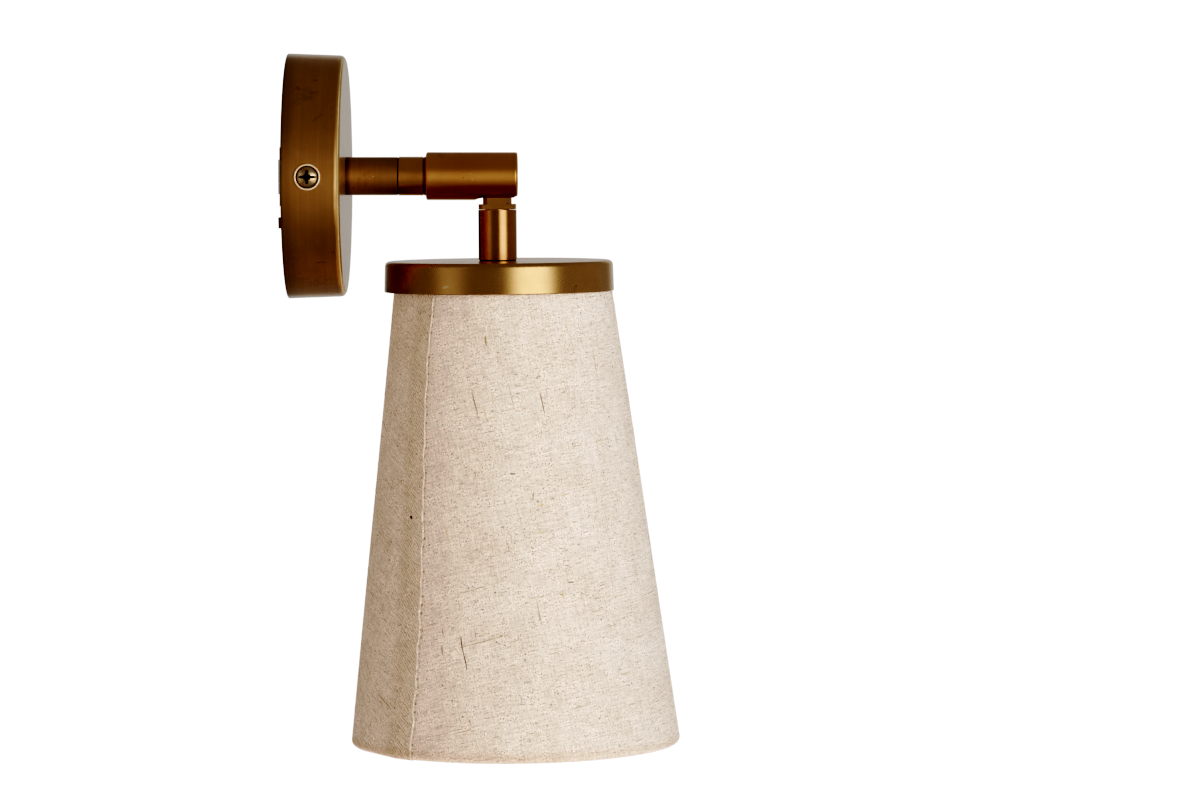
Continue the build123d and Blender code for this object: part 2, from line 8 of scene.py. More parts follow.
import bpy
import numpy as np
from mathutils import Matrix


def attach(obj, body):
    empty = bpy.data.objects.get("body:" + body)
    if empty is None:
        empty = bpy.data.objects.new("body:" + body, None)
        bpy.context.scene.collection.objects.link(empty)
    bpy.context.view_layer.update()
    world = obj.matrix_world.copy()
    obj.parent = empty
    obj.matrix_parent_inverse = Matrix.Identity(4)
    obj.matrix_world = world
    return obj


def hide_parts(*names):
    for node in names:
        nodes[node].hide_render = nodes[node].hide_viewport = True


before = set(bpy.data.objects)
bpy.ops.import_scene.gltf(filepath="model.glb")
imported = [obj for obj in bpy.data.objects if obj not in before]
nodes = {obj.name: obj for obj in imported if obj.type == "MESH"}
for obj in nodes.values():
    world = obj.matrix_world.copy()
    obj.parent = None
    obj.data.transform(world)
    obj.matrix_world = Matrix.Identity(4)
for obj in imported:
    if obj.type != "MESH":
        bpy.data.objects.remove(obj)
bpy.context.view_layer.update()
scene = bpy.context.scene
MM = 0.001


# ---------------------------------------------------------------- camera
cam_data = bpy.data.cameras.new("camera")
cam_data.sensor_fit = "HORIZONTAL"
cam_data.sensor_width = 36.0
cam_data.lens = 135.0
cam_data.clip_start = 0.05
cam_data.clip_end = 100.0
cam = bpy.data.objects.new("camera", cam_data)
cam.location = (0.1308, -1.8779, 0.0148)
cam.rotation_euler = (math.radians(90.0 - 3.3), 0.0, 0.0)
scene.collection.objects.link(cam)
scene.camera = cam


# ---------------------------------------------------------------- node helpers
class Tree:
    """Wires shader nodes: numbers go onto sockets, sockets are linked."""

    def __init__(self, tree):
        self.tree = tree

    def new(self, kind, **props):
        n = self.tree.nodes.new(kind)
        for k, v in props.items():
            setattr(n, k, v)
        return n

    def put(self, socket, value):
        if value is None:
            return
        if isinstance(value, bpy.types.NodeSocket):
            self.tree.links.new(value, socket)
        elif isinstance(value, (tuple, list)) and socket.type == "RGBA" and len(value) == 3:
            socket.default_value = (*value, 1.0)
        else:
            socket.default_value = value

    def math(self, op, a, b=None, c=None, clamp=False):
        n = self.new("ShaderNodeMath", operation=op, use_clamp=clamp)
        for i, v in enumerate((a, b, c)):
            self.put(n.inputs[i], v)
        return n.outputs[0]

    def vec(self, op, a, b=None, scale=None):
        n = self.new("ShaderNodeVectorMath", operation=op)
        self.put(n.inputs[0], a)
        self.put(n.inputs[1], b)
        if scale is not None:
            self.put(n.inputs["Scale"], scale)
        return n.outputs["Value"] if op in ("LENGTH", "DOT_PRODUCT", "DISTANCE") else n.outputs["Vector"]

    def split(self, v):
        n = self.new("ShaderNodeSeparateXYZ")
        self.put(n.inputs[0], v)
        return n.outputs

    def join(self, x, y, z=0.0):
        n = self.new("ShaderNodeCombineXYZ")
        for i, v in enumerate((x, y, z)):
            self.put(n.inputs[i], v)
        return n.outputs[0]

    def noise(self, v, scale=1.0, detail=2.0, rough=0.5, distortion=0.0, kind="Fac"):
        n = self.new("ShaderNodeTexNoise")
        self.put(n.inputs["Vector"], v)
        n.inputs["Scale"].default_value = scale
        n.inputs["Detail"].default_value = detail
        n.inputs["Roughness"].default_value = rough
        n.inputs["Distortion"].default_value = distortion
        return n.outputs[kind]

    def voronoi(self, v, scale=1.0, feature="F1", randomness=1.0):
        n = self.new("ShaderNodeTexVoronoi", feature=feature)
        self.put(n.inputs["Vector"], v)
        n.inputs["Scale"].default_value = scale
        n.inputs["Randomness"].default_value = randomness
        return n.outputs

    def remap(self, v, a, b, c=0.0, d=1.0, smooth=True):
        n = self.new("ShaderNodeMapRange", interpolation_type="SMOOTHSTEP" if smooth else "LINEAR")
        self.put(n.inputs["Value"], v)
        self.put(n.inputs["From Min"], a)
        self.put(n.inputs["From Max"], b)
        self.put(n.inputs["To Min"], c)
        self.put(n.inputs["To Max"], d)
        return n.outputs[0]

    def mix(self, fac, a, b, blend="MIX"):
        n = self.new("ShaderNodeMix", data_type="RGBA", blend_type=blend)
        n.clamp_factor = True
        self.put(n.inputs[0], fac)
        self.put(n.inputs[6], a)
        self.put(n.inputs[7], b)
        return n.outputs[2]

    def ramp(self, fac, stops, mode="LINEAR"):
        n = self.new("ShaderNodeValToRGB")
        n.color_ramp.interpolation = mode
        el = n.color_ramp.elements
        while len(el) > 1:
            el.remove(el[-1])
        for i, (pos, col) in enumerate(stops):
            e = el[0] if i == 0 else el.new(pos)
            e.position = pos
            e.color = (*col, 1.0) if len(col) == 3 else col
        self.put(n.inputs[0], fac)
        return n.outputs["Color"]

    def bump(self, height, strength, distance, normal=None):
        n = self.new("ShaderNodeBump")
        n.inputs["Strength"].default_value = strength
        n.inputs["Distance"].default_value = distance
        self.put(n.inputs["Height"], height)
        self.put(n.inputs["Normal"], normal)
        return n.outputs["Normal"]

    def mark(self, p, a, b, width, soft=0.6):
        """1 on a line from a to b (row frame, metres) of that half width, else 0."""
        ax, ay, az = a
        d = tuple(b[i] - a[i] for i in range(3))
        ll = sum(x * x for x in d) or 1e-12
        rel = self.vec("SUBTRACT", p, a)
        t = self.math("DIVIDE", self.vec("DOT_PRODUCT", rel, d), ll, clamp=True)
        near = self.vec("SCALE", d, scale=t)
        dist = self.vec("LENGTH", self.vec("SUBTRACT", rel, near))
        return self.remap(dist, width, width * soft, 0.0, 1.0)


def material(name):
    m = bpy.data.materials.new(name)
    m.use_nodes = True
    t = Tree(m.node_tree)
    bsdf = next(n for n in m.node_tree.nodes if n.type == "BSDF_PRINCIPLED")
    return m, t, bsdf


def coords(t, kind="Object"):
    return t.new("ShaderNodeTexCoord").outputs[kind]


# ---------------------------------------------------------------- metals
def lathe(t, p, axis, along, around):
    """Coordinates that vary fast along a turned part's axis and slowly round it."""
    x, y, z = t.split(p)
    if axis == "X":
        return t.join(t.math("MULTIPLY", x, along), t.math("MULTIPLY", y, around), t.math("MULTIPLY", z, around))
    return t.join(t.math("MULTIPLY", x, around), t.math("MULTIPLY", y, around), t.math("MULTIPLY", z, along))


def aged_brass(name, axis, rough=0.27, aniso=0.0, seed=0.0, hue=(0.80, 0.50, 0.24), marks=(), dots=0.5, lines=1.0, coat=0.8, coat_rough=0.16, shades=(), grit=1.0, worn_edge_and_highlight=None, raw=None):
    """Brass under an aged, toned lacquer: lathe lines, soft dark clouds, small
    dark and bright specks, and a few scratches at given places. shades are
    (x from, x to, amount) in millimetres: painted shade that fades in along the arm,
    where parts meet and towards the wall. worn is (x from, x to): past there, along an edge,
    the lacquer is rubbed thin and the colour lightened as a painted highlight.
    raw is (radius, x): within these the metal is inside, unpolished and dull."""
    m, t, b = material(name)
    p = coords(t)
    ps = t.vec("ADD", p, (seed, seed * 0.7, seed * 1.3))
    fine = t.noise(lathe(t, ps, axis, 2600.0, 14.0), detail=3.0, rough=0.6)
    wide = t.noise(lathe(t, ps, axis, 520.0, 9.0), detail=2.0, rough=0.5)
    cloud = t.noise(ps, scale=34.0, detail=4.0, rough=0.55, distortion=0.6)
    patch = t.noise(ps, scale=120.0, detail=3.0, rough=0.6)

    # toned lacquer: warm brown to golden
    body = t.mix(t.remap(cloud, 0.3, 0.72), (hue[0] * 0.95, hue[1] * 0.925, hue[2] * 0.88), (hue[0] * 1.05, hue[1] * 1.075, hue[2] * 1.12))
    streak = t.math("MULTIPLY", t.remap(fine, 0.3, 0.7, -1, 1, smooth=False), 0.045 * lines)
    streak2 = t.math("MULTIPLY", t.remap(wide, 0.3, 0.7, -1, 1, smooth=False), 0.035 * lines)
    k = t.math("ADD", t.math("ADD", streak, streak2), 1.0)
    body = t.mix(1.0, body, t.join(k, k, k), "MULTIPLY")

    # tarnish: soft clouds with dark hearts
    tarnish = t.remap(t.math("MULTIPLY", cloud, t.remap(patch, 0.35, 0.7, 0.75, 1.15)), 0.60, 0.80, 0.0, 0.30)
    body = t.mix(tarnish, body, (hue[0] * 0.45, hue[1] * 0.40, hue[2] * 0.35))

    # painted shade: darker by position where parts meet and towards the wall, broken up by the clouds
    if shades:
        px = t.math("MULTIPLY", t.split(p)[0], 1000.0)
        for x_from, x_to, amount in shades:
            painted_shade = t.math("MULTIPLY", t.remap(px, x_from, x_to), t.remap(cloud, 0.25, 0.75, amount * 0.8, amount * 1.1))
            body = t.mix(painted_shade, body, (hue[0] * 0.10, hue[1] * 0.07, hue[2] * 0.06))

    if worn_edge_and_highlight:
        # the rubbed edge lightened: wear, and a painted highlight along the corner
        rub_and_highlight = t.remap(t.math("MULTIPLY", t.split(p)[0], 1000.0), worn_edge_and_highlight[0], worn_edge_and_highlight[1], 0.0, 0.65)
        body = t.mix(rub_and_highlight, body, (0.97, 0.77, 0.48))

    # specks
    v = t.voronoi(ps, scale=260.0)
    hit = t.remap(v["Distance"], 0.16, 0.07)
    pick = t.split(v["Color"])
    dark = t.math("MULTIPLY", hit, t.math("GREATER_THAN", pick[0], 1.0 - 0.045 * dots))
    light = t.math("MULTIPLY", hit, t.math("GREATER_THAN", pick[1], 1.0 - 0.03 * dots))
    body = t.mix(dark, body, (0.10, 0.05, 0.02))
    body = t.mix(t.math("MULTIPLY", light, 0.6), body, (0.95, 0.80, 0.55))

    scratch = None
    for kind, a, c, w in marks:
        hitm = t.mark(p, a, c, w)
        if kind == "dark":
            body = t.mix(t.math("MULTIPLY", hitm, 0.42), body, (0.13, 0.065, 0.025))
        elif kind == "faint":
            body = t.mix(t.math("MULTIPLY", hitm, 0.20), body, (0.22, 0.11, 0.04))
        elif kind == "bright":
            body = t.mix(t.math("MULTIPLY", hitm, 0.45), body, (1.0, 0.86, 0.62))
        scratch = hitm if scratch is None else t.math("MAXIMUM", scratch, hitm)

    r = t.math("ADD", t.math("MULTIPLY", t.remap(fine, 0.3, 0.7, -1, 1, smooth=False), 0.025 * lines), rough)
    r = t.math("ADD", r, t.math("MULTIPLY", t.remap(patch, 0.35, 0.75), 0.04))
    r = t.math("ADD", r, t.math("MULTIPLY", tarnish, 0.15), clamp=True)
    if worn_edge_and_highlight:
        rub = t.remap(t.math("MULTIPLY", t.split(p)[0], 1000.0), worn_edge_and_highlight[0], worn_edge_and_highlight[1])
        r = t.math("ADD", r, t.math("MULTIPLY", rub, 0.22))

    h = t.math("ADD", t.math("MULTIPLY", fine, 0.4 * lines), t.math("MULTIPLY", t.noise(ps, scale=900.0, detail=2.0), 0.3 * grit))
    h = t.math("SUBTRACT", h, t.math("MULTIPLY", dark, 1.5))
    if scratch is not None:
        h = t.math("SUBTRACT", h, t.math("MULTIPLY", scratch, 0.5))
    b.inputs["Normal"].default_value = (0, 0, 0)
    t.put(b.inputs["Normal"], t.bump(h, 0.3, 0.00003))
    t.put(b.inputs["Base Color"], body)
    t.put(b.inputs["Roughness"], r)
    b.inputs["Metallic"].default_value = 1.0
    b.inputs["Coat Weight"].default_value = coat
    if raw:
        qx, qy, qz = t.split(p)
        rad = t.math("SQRT", t.math("ADD", t.math("MULTIPLY", qy, qy), t.math("MULTIPLY", qz, qz)))
        inner = t.math("MULTIPLY", t.math("LESS_THAN", rad, raw[0] / 1000.0), t.math("LESS_THAN", qx, raw[1] / 1000.0))
        dull = t.mix(t.remap(cloud, 0.3, 0.7), (0.56, 0.40, 0.22), (0.74, 0.55, 0.32))
        dull = t.mix(1.0, dull, t.join(k, k, k), "MULTIPLY")
        dull = t.mix(t.remap(patch, 0.58, 0.74, 0.0, 0.5), dull, (0.34, 0.22, 0.11))
        t.put(b.inputs["Base Color"], t.mix(inner, body, dull))
        t.put(b.inputs["Metallic"], t.math("SUBTRACT", 1.0, t.math("MULTIPLY", inner, 0.55)))
        t.put(b.inputs["Coat Weight"], t.math("MULTIPLY", t.math("SUBTRACT", 1.0, inner), coat))
        t.put(b.inputs["Roughness"], t.math("ADD", r, t.math("MULTIPLY", inner, 0.14), clamp=True))
    b.inputs["Anisotropic"].default_value = aniso
    b.inputs["Anisotropic Rotation"].default_value = 0.25
    b.inputs["Coat Roughness"].default_value = coat_rough
    if aniso > 0:
        tan = t.new("ShaderNodeTangent", direction_type="RADIAL", axis=axis)
        t.put(b.inputs["Tangent"], tan.outputs[0])
    return m


def plated(name, color, rough, grain=900.0, amount=0.06, aniso=0.0, dirt=0.25, spangle=0.0, metal=1.0):
    """Plated or bare metal with fine turning or pressing texture and handling dirt."""
    m, t, b = material(name)
    p = coords(t)
    fine = t.noise(p, scale=grain, detail=3.0, rough=0.6)
    cloud = t.noise(p, scale=80.0, detail=4.0, rough=0.6, distortion=0.4)
    k = t.math("ADD", t.math("MULTIPLY", t.remap(fine, 0.3, 0.7, -1, 1, smooth=False), amount), 1.0)
    col = t.mix(1.0, (*color,), t.join(k, k, k), "MULTIPLY")
    if spangle:
        v = t.voronoi(p, scale=170.0)
        s = t.math("ADD", t.math("MULTIPLY", t.split(v["Color"])[0], spangle), 1.0 - spangle)
        col = t.mix(1.0, col, t.join(s, s, s), "MULTIPLY")
    col = t.mix(t.remap(cloud, 0.52, 0.8, 0.0, dirt), col, tuple(c * 0.45 for c in color))
    t.put(b.inputs["Base Color"], col)
    r = t.math("ADD", t.math("MULTIPLY", t.remap(cloud, 0.3, 0.7), 0.14), rough - 0.05)
    t.put(b.inputs["Roughness"], r)
    t.put(b.inputs["Normal"], t.bump(fine, 0.3, 0.00003))
    b.inputs["Metallic"].default_value = metal
    b.inputs["Anisotropic"].default_value = aniso
    return m


def plastic(name, color, rough, grain=700.0, bump=0.25, var=0.05, coat=0.0, sub=0.0, dust=0.0):
    """Moulded plastic or ceramic: faint texture, uneven gloss, a little dust."""
    m, t, b = material(name)
    p = coords(t)
    fine = t.noise(p, scale=grain, detail=3.0, rough=0.6)
    cloud = t.noise(p, scale=60.0, detail=4.0, rough=0.55)
    k = t.math("ADD", t.math("MULTIPLY", t.remap(cloud, 0.3, 0.7, -1, 1, smooth=False), var), 1.0)
    col = t.mix(1.0, (*color,), t.join(k, k, k), "MULTIPLY")
    if dust:
        col = t.mix(t.remap(t.noise(p, scale=400.0, detail=4.0, rough=0.7), 0.55, 0.8, 0.0, dust), col, (0.55, 0.52, 0.48))
    t.put(b.inputs["Base Color"], col)
    t.put(b.inputs["Roughness"], t.math("ADD", t.math("MULTIPLY", t.remap(cloud, 0.3, 0.7), 0.12), rough - 0.05))
    t.put(b.inputs["Normal"], t.bump(fine, bump, 0.00005))
    b.inputs["Coat Weight"].default_value = coat
    b.inputs["Coat Roughness"].default_value = 0.08
    if sub:
        b.inputs["Subsurface Weight"].default_value = sub
        b.inputs["Subsurface Radius"].default_value = (1.0, 0.8, 0.6)
        b.inputs["Subsurface Scale"].default_value = 0.001
    return m


def lead(name, color, stripe=None):
    """Lead insulation; the earth lead has a second colour that winds round it."""
    m, t, b = material(name)
    p = coords(t)
    fine = t.noise(p, scale=1500.0, detail=2.0)
    col = t.mix(t.remap(t.noise(p, scale=90.0, detail=3.0), 0.3, 0.7, 0.0, 0.3), (*color,), tuple(c * 0.7 for c in color))
    if stripe:
        x, y, z = t.split(p)
        w = t.math("SINE", t.math("ADD", t.math("MULTIPLY", t.math("ADD", x, t.math("ADD", y, z)), 1100.0), t.math("MULTIPLY", y, 500.0)))
        col = t.mix(t.remap(w, -0.15, 0.15), col, (*stripe,))
    t.put(b.inputs["Base Color"], col)
    t.put(b.inputs["Roughness"], t.remap(fine, 0.2, 0.8, 0.28, 0.42))
    t.put(b.inputs["Normal"], t.bump(fine, 0.2, 0.00003))
    return m


def opal_glass(name):
    """Opal bulb glass: white right through, a wet gloss, faint swirls."""
    m, t, b = material(name)
    p = coords(t)
    swirl = t.noise(p, scale=45.0, detail=3.0, distortion=1.2)
    col = t.mix(t.remap(swirl, 0.3, 0.7, 0.0, 1.0), (0.93, 0.925, 0.90), (0.88, 0.87, 0.84))
    t.put(b.inputs["Base Color"], col)
    t.put(b.inputs["Roughness"], t.remap(swirl, 0.3, 0.7, 0.16, 0.24))
    t.put(b.inputs["Normal"], t.bump(t.noise(p, scale=150.0, detail=2.0), 0.12, 0.0001))
    b.inputs["Subsurface Weight"].default_value = 0.25
    b.inputs["Subsurface Radius"].default_value = (1.0, 0.95, 0.85)
    b.inputs["Subsurface Scale"].default_value = 0.004
    b.inputs["Coat Weight"].default_value = 0.6
    b.inputs["Coat Roughness"].default_value = 0.05
    return m


def liner_film(name):
    """Stiffening film behind the linen: satin white with the weave's faint print."""
    m, t, b = material(name)
    p = coords(t)
    x, y, z = t.split(p)
    up = t.noise(t.join(t.math("MULTIPLY", x, 900.0), t.math("MULTIPLY", y, 900.0), t.math("MULTIPLY", z, 25.0)), detail=2.0)
    flat = t.noise(t.join(t.math("MULTIPLY", x, 25.0), t.math("MULTIPLY", y, 25.0), t.math("MULTIPLY", z, 1000.0)), detail=2.0)
    weave = t.math("ADD", up, flat)
    col = t.mix(t.remap(weave, 0.75, 1.25), (0.80, 0.775, 0.72), (0.88, 0.86, 0.81))
    t.put(b.inputs["Base Color"], col)
    t.put(b.inputs["Roughness"], t.remap(t.noise(p, scale=70.0, detail=3.0), 0.3, 0.7, 0.42, 0.55))
    t.put(b.inputs["Normal"], t.bump(weave, 0.25, 0.00008))
    b.inputs["Coat Weight"].default_value = 0.15
    return m


# ---------------------------------------------------------------- linen
def linen(name, tone=(1.0, 1.0, 1.0), plain=False):
    """Natural slubby linen in plain weave. The map "grain" holds the flat cut in
    millimetres / 100, so threads run straight across the cut and lie at a slant
    beside the seam. Attributes: seam_s, the distance in millimetres right of the
    seam, and seam_h, the height in millimetres below the top."""
    m, t, b = material(name)
    uv = t.new("ShaderNodeUVMap", uv_map="grain").outputs[0]
    u0, v0, _ = t.split(uv)
    u0 = t.math("MULTIPLY", u0, 100.0)
    v0 = t.math("MULTIPLY", v0, 100.0)
    flatp = t.join(u0, v0, 0.0)
    wob = t.noise(flatp, scale=0.06, detail=2.0, kind="Color")
    wx, wy, _ = t.split(wob)
    u = t.math("ADD", u0, t.math("MULTIPLY", t.math("SUBTRACT", wx, 0.5), 1.8))
    v = t.math("ADD", v0, t.math("MULTIPLY", t.math("SUBTRACT", wy, 0.5), 1.8))

    # plain weave, 0.52 mm by 0.56 mm
    su = t.math("SINE", t.math("MULTIPLY", u, math.pi / 0.52))
    sv = t.math("SINE", t.math("MULTIPLY", v, math.pi / 0.56))
    au, av = t.math("ABSOLUTE", su), t.math("ABSOLUTE", sv)
    over = t.math("MULTIPLY", t.math("MULTIPLY", su, sv), 0.45)
    weave = t.math("ADD", t.math("MULTIPLY", au, t.math("ADD", over, 0.55)), t.math("MULTIPLY", av, t.math("SUBTRACT", 0.55, over)))

    def streaks(across, along, seed, detail, turn):
        a, c = (u, v) if turn else (v, u)
        q = t.join(t.math("MULTIPLY", a, across), t.math("MULTIPLY", c, along), seed)
        return t.noise(q, detail=detail, rough=0.55)

    def swing(x, lo, hi, amount):
        return t.math("MULTIPLY", t.remap(x, lo, hi, -1, 1, smooth=False), amount)

    # uneven yarns both ways: long streaks, short dashes, and the yarns' crossings
    warp = streaks(1.35, 0.045, 3.0, 2.0, True)
    weft = streaks(1.35, 0.045, 11.0, 2.0, False)
    dash_up = streaks(1.7, 0.30, 23.0, 1.0, True)
    dash_flat = streaks(1.7, 0.22, 31.0, 1.0, False)
    grain = t.noise(flatp, scale=1.30, detail=1.0, rough=0.7)
    cross = t.noise(t.join(u, t.math("MULTIPLY", v, 0.72), 7.0), scale=2.15, detail=0.0)
    mottle = t.noise(flatp, scale=0.055, detail=3.0, rough=0.55)
    patches = t.remap(t.noise(flatp, scale=0.15, detail=2.0), 0.40, 0.60, 0.60, 1.40)

    base = t.mix(t.remap(mottle, 0.3, 0.7), (0.643, 0.509, 0.428), (0.713, 0.571, 0.490))
    lift = swing(warp, 0.32, 0.68, 0.085)
    lift = t.math("ADD", lift, swing(weft, 0.32, 0.68, 0.095))
    lift = t.math("ADD", lift, swing(dash_up, 0.3, 0.7, 0.075))
    lift = t.math("ADD", lift, swing(dash_flat, 0.3, 0.7, 0.105))
    fine = t.math("ADD", swing(grain, 0.3, 0.7, 0.12), swing(cross, 0.3, 0.7, 0.14))
    fine = t.math("ADD", fine, swing(weave, 0.1, 0.9, 0.10))
    lift = t.math("ADD", lift, t.math("MULTIPLY", fine, patches))
    k = t.math("ADD", lift, 1.0)
    base = t.mix(1.0, base, t.join(k, k, k), "MULTIPLY")

    # gaps between yarns read as fine dark pepper, yarn crowns as pale pepper
    pits = t.math("MULTIPLY", t.remap(cross, 0.36, 0.22, 0.0, 0.78), t.remap(grain, 0.62, 0.42))
    base = t.mix(t.math("MULTIPLY", pits, patches, clamp=True), base, (0.235, 0.165, 0.11))
    crown = t.math("MULTIPLY", t.remap(cross, 0.64, 0.78), t.remap(grain, 0.40, 0.60))
    base = t.mix(t.math("MULTIPLY", crown, 0.60), base, (0.90, 0.81, 0.72))
    # single darker yarns, seen for a centimetre or two and broken by the crossings
    gaps = t.remap(grain, 0.36, 0.56, 0.25, 1.0)
    long_flat = t.math("MULTIPLY", t.remap(streaks(1.6, 0.26, 51.0, 1.0, False), 0.33, 0.27), gaps)
    long_up = t.math("MULTIPLY", t.remap(streaks(1.6, 0.26, 63.0, 1.0, True), 0.31, 0.25), gaps)
    base = t.mix(t.math("MULTIPLY", t.math("MAXIMUM", long_flat, t.math("MULTIPLY", long_up, 0.9)), 0.95), base, (0.29, 0.22, 0.145))
    # and single paler ones
    pale = t.math("MAXIMUM", t.remap(streaks(1.8, 0.10, 77.0, 1.0, False), 0.60, 0.74), t.remap(streaks(1.8, 0.10, 83.0, 1.0, True), 0.60, 0.74))
    base = t.mix(t.math("MULTIPLY", pale, 0.34), base, (0.86, 0.77, 0.67))
    # thin dark yarns and thick pale ones
    slub = t.math("MAXIMUM", t.remap(dash_up, 0.70, 0.80), t.remap(dash_flat, 0.68, 0.78))
    base = t.mix(t.math("MULTIPLY", slub, 0.28), base, (0.78, 0.69, 0.59))
    thin = t.math("MAXIMUM", t.remap(dash_up, 0.29, 0.22), t.remap(dash_flat, 0.32, 0.26))
    base = t.mix(t.math("MULTIPLY", thin, 0.60), base, (0.28, 0.21, 0.14))

    # bits of straw and bark in the yarn
    c1 = t.voronoi(flatp, scale=0.30)
    bit = t.math("MULTIPLY", t.remap(c1["Distance"], 0.155, 0.085), t.math("GREATER_THAN", t.split(c1["Color"])[0], 0.84))
    base = t.mix(t.math("MULTIPLY", bit, 0.75), base, (0.16, 0.105, 0.07))
    # longer straw flecks along the yarns, few
    for axis, seed, lim in ((0, 5.0, 0.95), (1, 9.0, 0.93)):
        q = t.join(t.math("MULTIPLY", u, 1.3 if axis == 0 else 0.40), t.math("MULTIPLY", v, 0.40 if axis == 0 else 1.3), seed)
        cc = t.voronoi(q, scale=0.42)
        fl = t.math("MULTIPLY", t.remap(cc["Distance"], 0.15, 0.08), t.math("GREATER_THAN", t.split(cc["Color"])[1], lim))
        base = t.mix(t.math("MULTIPLY", fl, 0.5), base, (0.44, 0.325, 0.17))

    height = t.math("ADD", weave, t.math("MULTIPLY", t.math("ADD", warp, weft), 0.9))
    height = t.math("ADD", height, t.math("MULTIPLY", cross, 1.1))
    height = t.math("ADD", height, t.math("MULTIPLY", slub, 0.8))
    height = t.math("SUBTRACT", height, t.math("MULTIPLY", pits, 1.2))
    if not plain:
        s = t.new("ShaderNodeAttribute", attribute_name="seam_s").outputs["Fac"]
        hh = t.new("ShaderNodeAttribute", attribute_name="seam_h").outputs["Fac"]
        # doubled cloth left of the seam, darkened: painted shade where the double layer passes less light
        band = t.math("MULTIPLY", t.remap(s, -15.0, -7.0), t.remap(s, -0.2, -0.8))
        base = t.mix(t.math("MULTIPLY", band, 0.85), base, t.mix(1.0, base, (0.875, 0.845, 0.80), "MULTIPLY"))
        # there the two layers' yarns show as short strokes on the slant
        sw = t.math("ADD", s, t.math("MULTIPLY", t.math("SUBTRACT", wx, 0.5), 3.0))
        hw = t.math("ADD", hh, t.math("MULTIPLY", t.math("SUBTRACT", wy, 0.5), 3.0))
        across = t.math("SUBTRACT", t.math("MULTIPLY", sw, 0.75), t.math("MULTIPLY", hw, 0.66))
        onward = t.math("ADD", t.math("MULTIPLY", sw, 0.66), t.math("MULTIPLY", hw, 0.75))
        drift = t.noise(t.join(t.math("MULTIPLY", across, 0.5), t.math("MULTIPLY", onward, 0.22), 41.0), detail=1.0)
        stroke = t.math("SINE", t.math("ADD", t.math("MULTIPLY", across, 2 * math.pi / 1.0), t.math("MULTIPLY", drift, 9.0)))
        held = t.remap(t.noise(t.join(t.math("MULTIPLY", across, 0.8), t.math("MULTIPLY", onward, 0.30), 57.0), detail=1.0), 0.36, 0.56, 0.25, 1.0)
        held = t.math("MULTIPLY", t.math("MULTIPLY", held, gaps), band)
        base = t.mix(t.math("MULTIPLY", t.remap(stroke, 0.0, 0.8, 0.0, 0.62), held), base, (0.25, 0.18, 0.11))
        base = t.mix(t.math("MULTIPLY", t.remap(stroke, -0.1, -0.8, 0.0, 0.40), held), base, (0.74, 0.64, 0.53))
        # folded edge: a pale line, a little uneven, painted as the highlight where the fold catches the light
        s = t.math("ADD", s, t.math("MULTIPLY", t.math("SUBTRACT", t.noise(t.join(0.0, hh, 5.0), scale=0.22, detail=2.0), 0.5), 0.9))
        ridge = t.math("MULTIPLY", t.remap(s, -1.05, -0.75), t.remap(s, -0.05, -0.25))
        broken = t.remap(t.noise(t.join(s, t.math("MULTIPLY", hh, 0.5), 13.0), scale=0.9, detail=2.0), 0.42, 0.62, 0.0, 0.42)
        base = t.mix(t.math("MULTIPLY", ridge, broken), base, (0.66, 0.56, 0.465))
        # shadow under the folded edge
        under = t.math("MULTIPLY", t.remap(s, -0.12, 0.10), t.remap(s, 0.62, 0.22))
        base = t.mix(t.math("MULTIPLY", under, t.remap(broken, 0.1, 0.5, 0.45, 0.20)), base, (0.30, 0.215, 0.145))
        # needle holes beside it, painted dark as the shade inside them
        row = t.math("FRACT", t.math("DIVIDE", hh, 3.35))
        dy = t.math("MULTIPLY", t.math("SUBTRACT", row, 0.5), 3.35)
        some = t.remap(t.noise(t.join(0.0, hh, 2.0), scale=0.30, detail=1.0), 0.40, 0.58, 0.25, 1.0)
        dx = t.math("SUBTRACT", s, 0.60)
        hole = t.remap(t.math("SQRT", t.math("ADD", t.math("MULTIPLY", dx, dx), t.math("MULTIPLY", dy, dy))), 0.66, 0.34)
        dx2 = t.math("ADD", s, 1.35)
        hole2 = t.remap(t.math("SQRT", t.math("ADD", t.math("MULTIPLY", dx2, dx2), t.math("MULTIPLY", dy, dy))), 0.60, 0.32)
        hole2 = t.math("MULTIPLY", hole2, t.remap(hh, 34.0, 22.0))
        holes = t.math("MULTIPLY", t.math("MAXIMUM", hole, hole2), some)
        base = t.mix(t.math("MULTIPLY", holes, 0.62), base, (0.19, 0.12, 0.07))
        # the turned edge over the bottom ring, darkened: painted shade where the cloth curves under
        edge = t.math("ADD", hh, t.math("MULTIPLY", t.math("SUBTRACT", t.noise(flatp, scale=0.25, detail=3.0), 0.5), 2.6))
        low = t.remap(edge, 190.0, 193.2)
        base = t.mix(t.math("MULTIPLY", low, 0.8), base, t.mix(1.0, base, (0.90, 0.83, 0.78), "MULTIPLY"))
        # painted shadow of the lid on the cloth just below its top edge
        top = t.remap(hh, 8.5, 5.5)
        base = t.mix(t.math("MULTIPLY", top, 0.6), base, t.mix(1.0, base, (0.90, 0.86, 0.82), "MULTIPLY"))
        height = t.math("SUBTRACT", height, t.math("MULTIPLY", holes, 2.5))
    if tone != (1.0, 1.0, 1.0):
        base = t.mix(1.0, base, tone, "MULTIPLY")
    t.put(b.inputs["Base Color"], base)
    t.put(b.inputs["Roughness"], t.remap(weave, 0.1, 0.9, 0.95, 0.80))
    t.put(b.inputs["Normal"], t.bump(height, 0.5, 0.00022))
    b.inputs["Sheen Weight"].default_value = 0.12
    b.inputs["Sheen Roughness"].default_value = 0.5
    b.inputs["Specular IOR Level"].default_value = 0.25
    return m


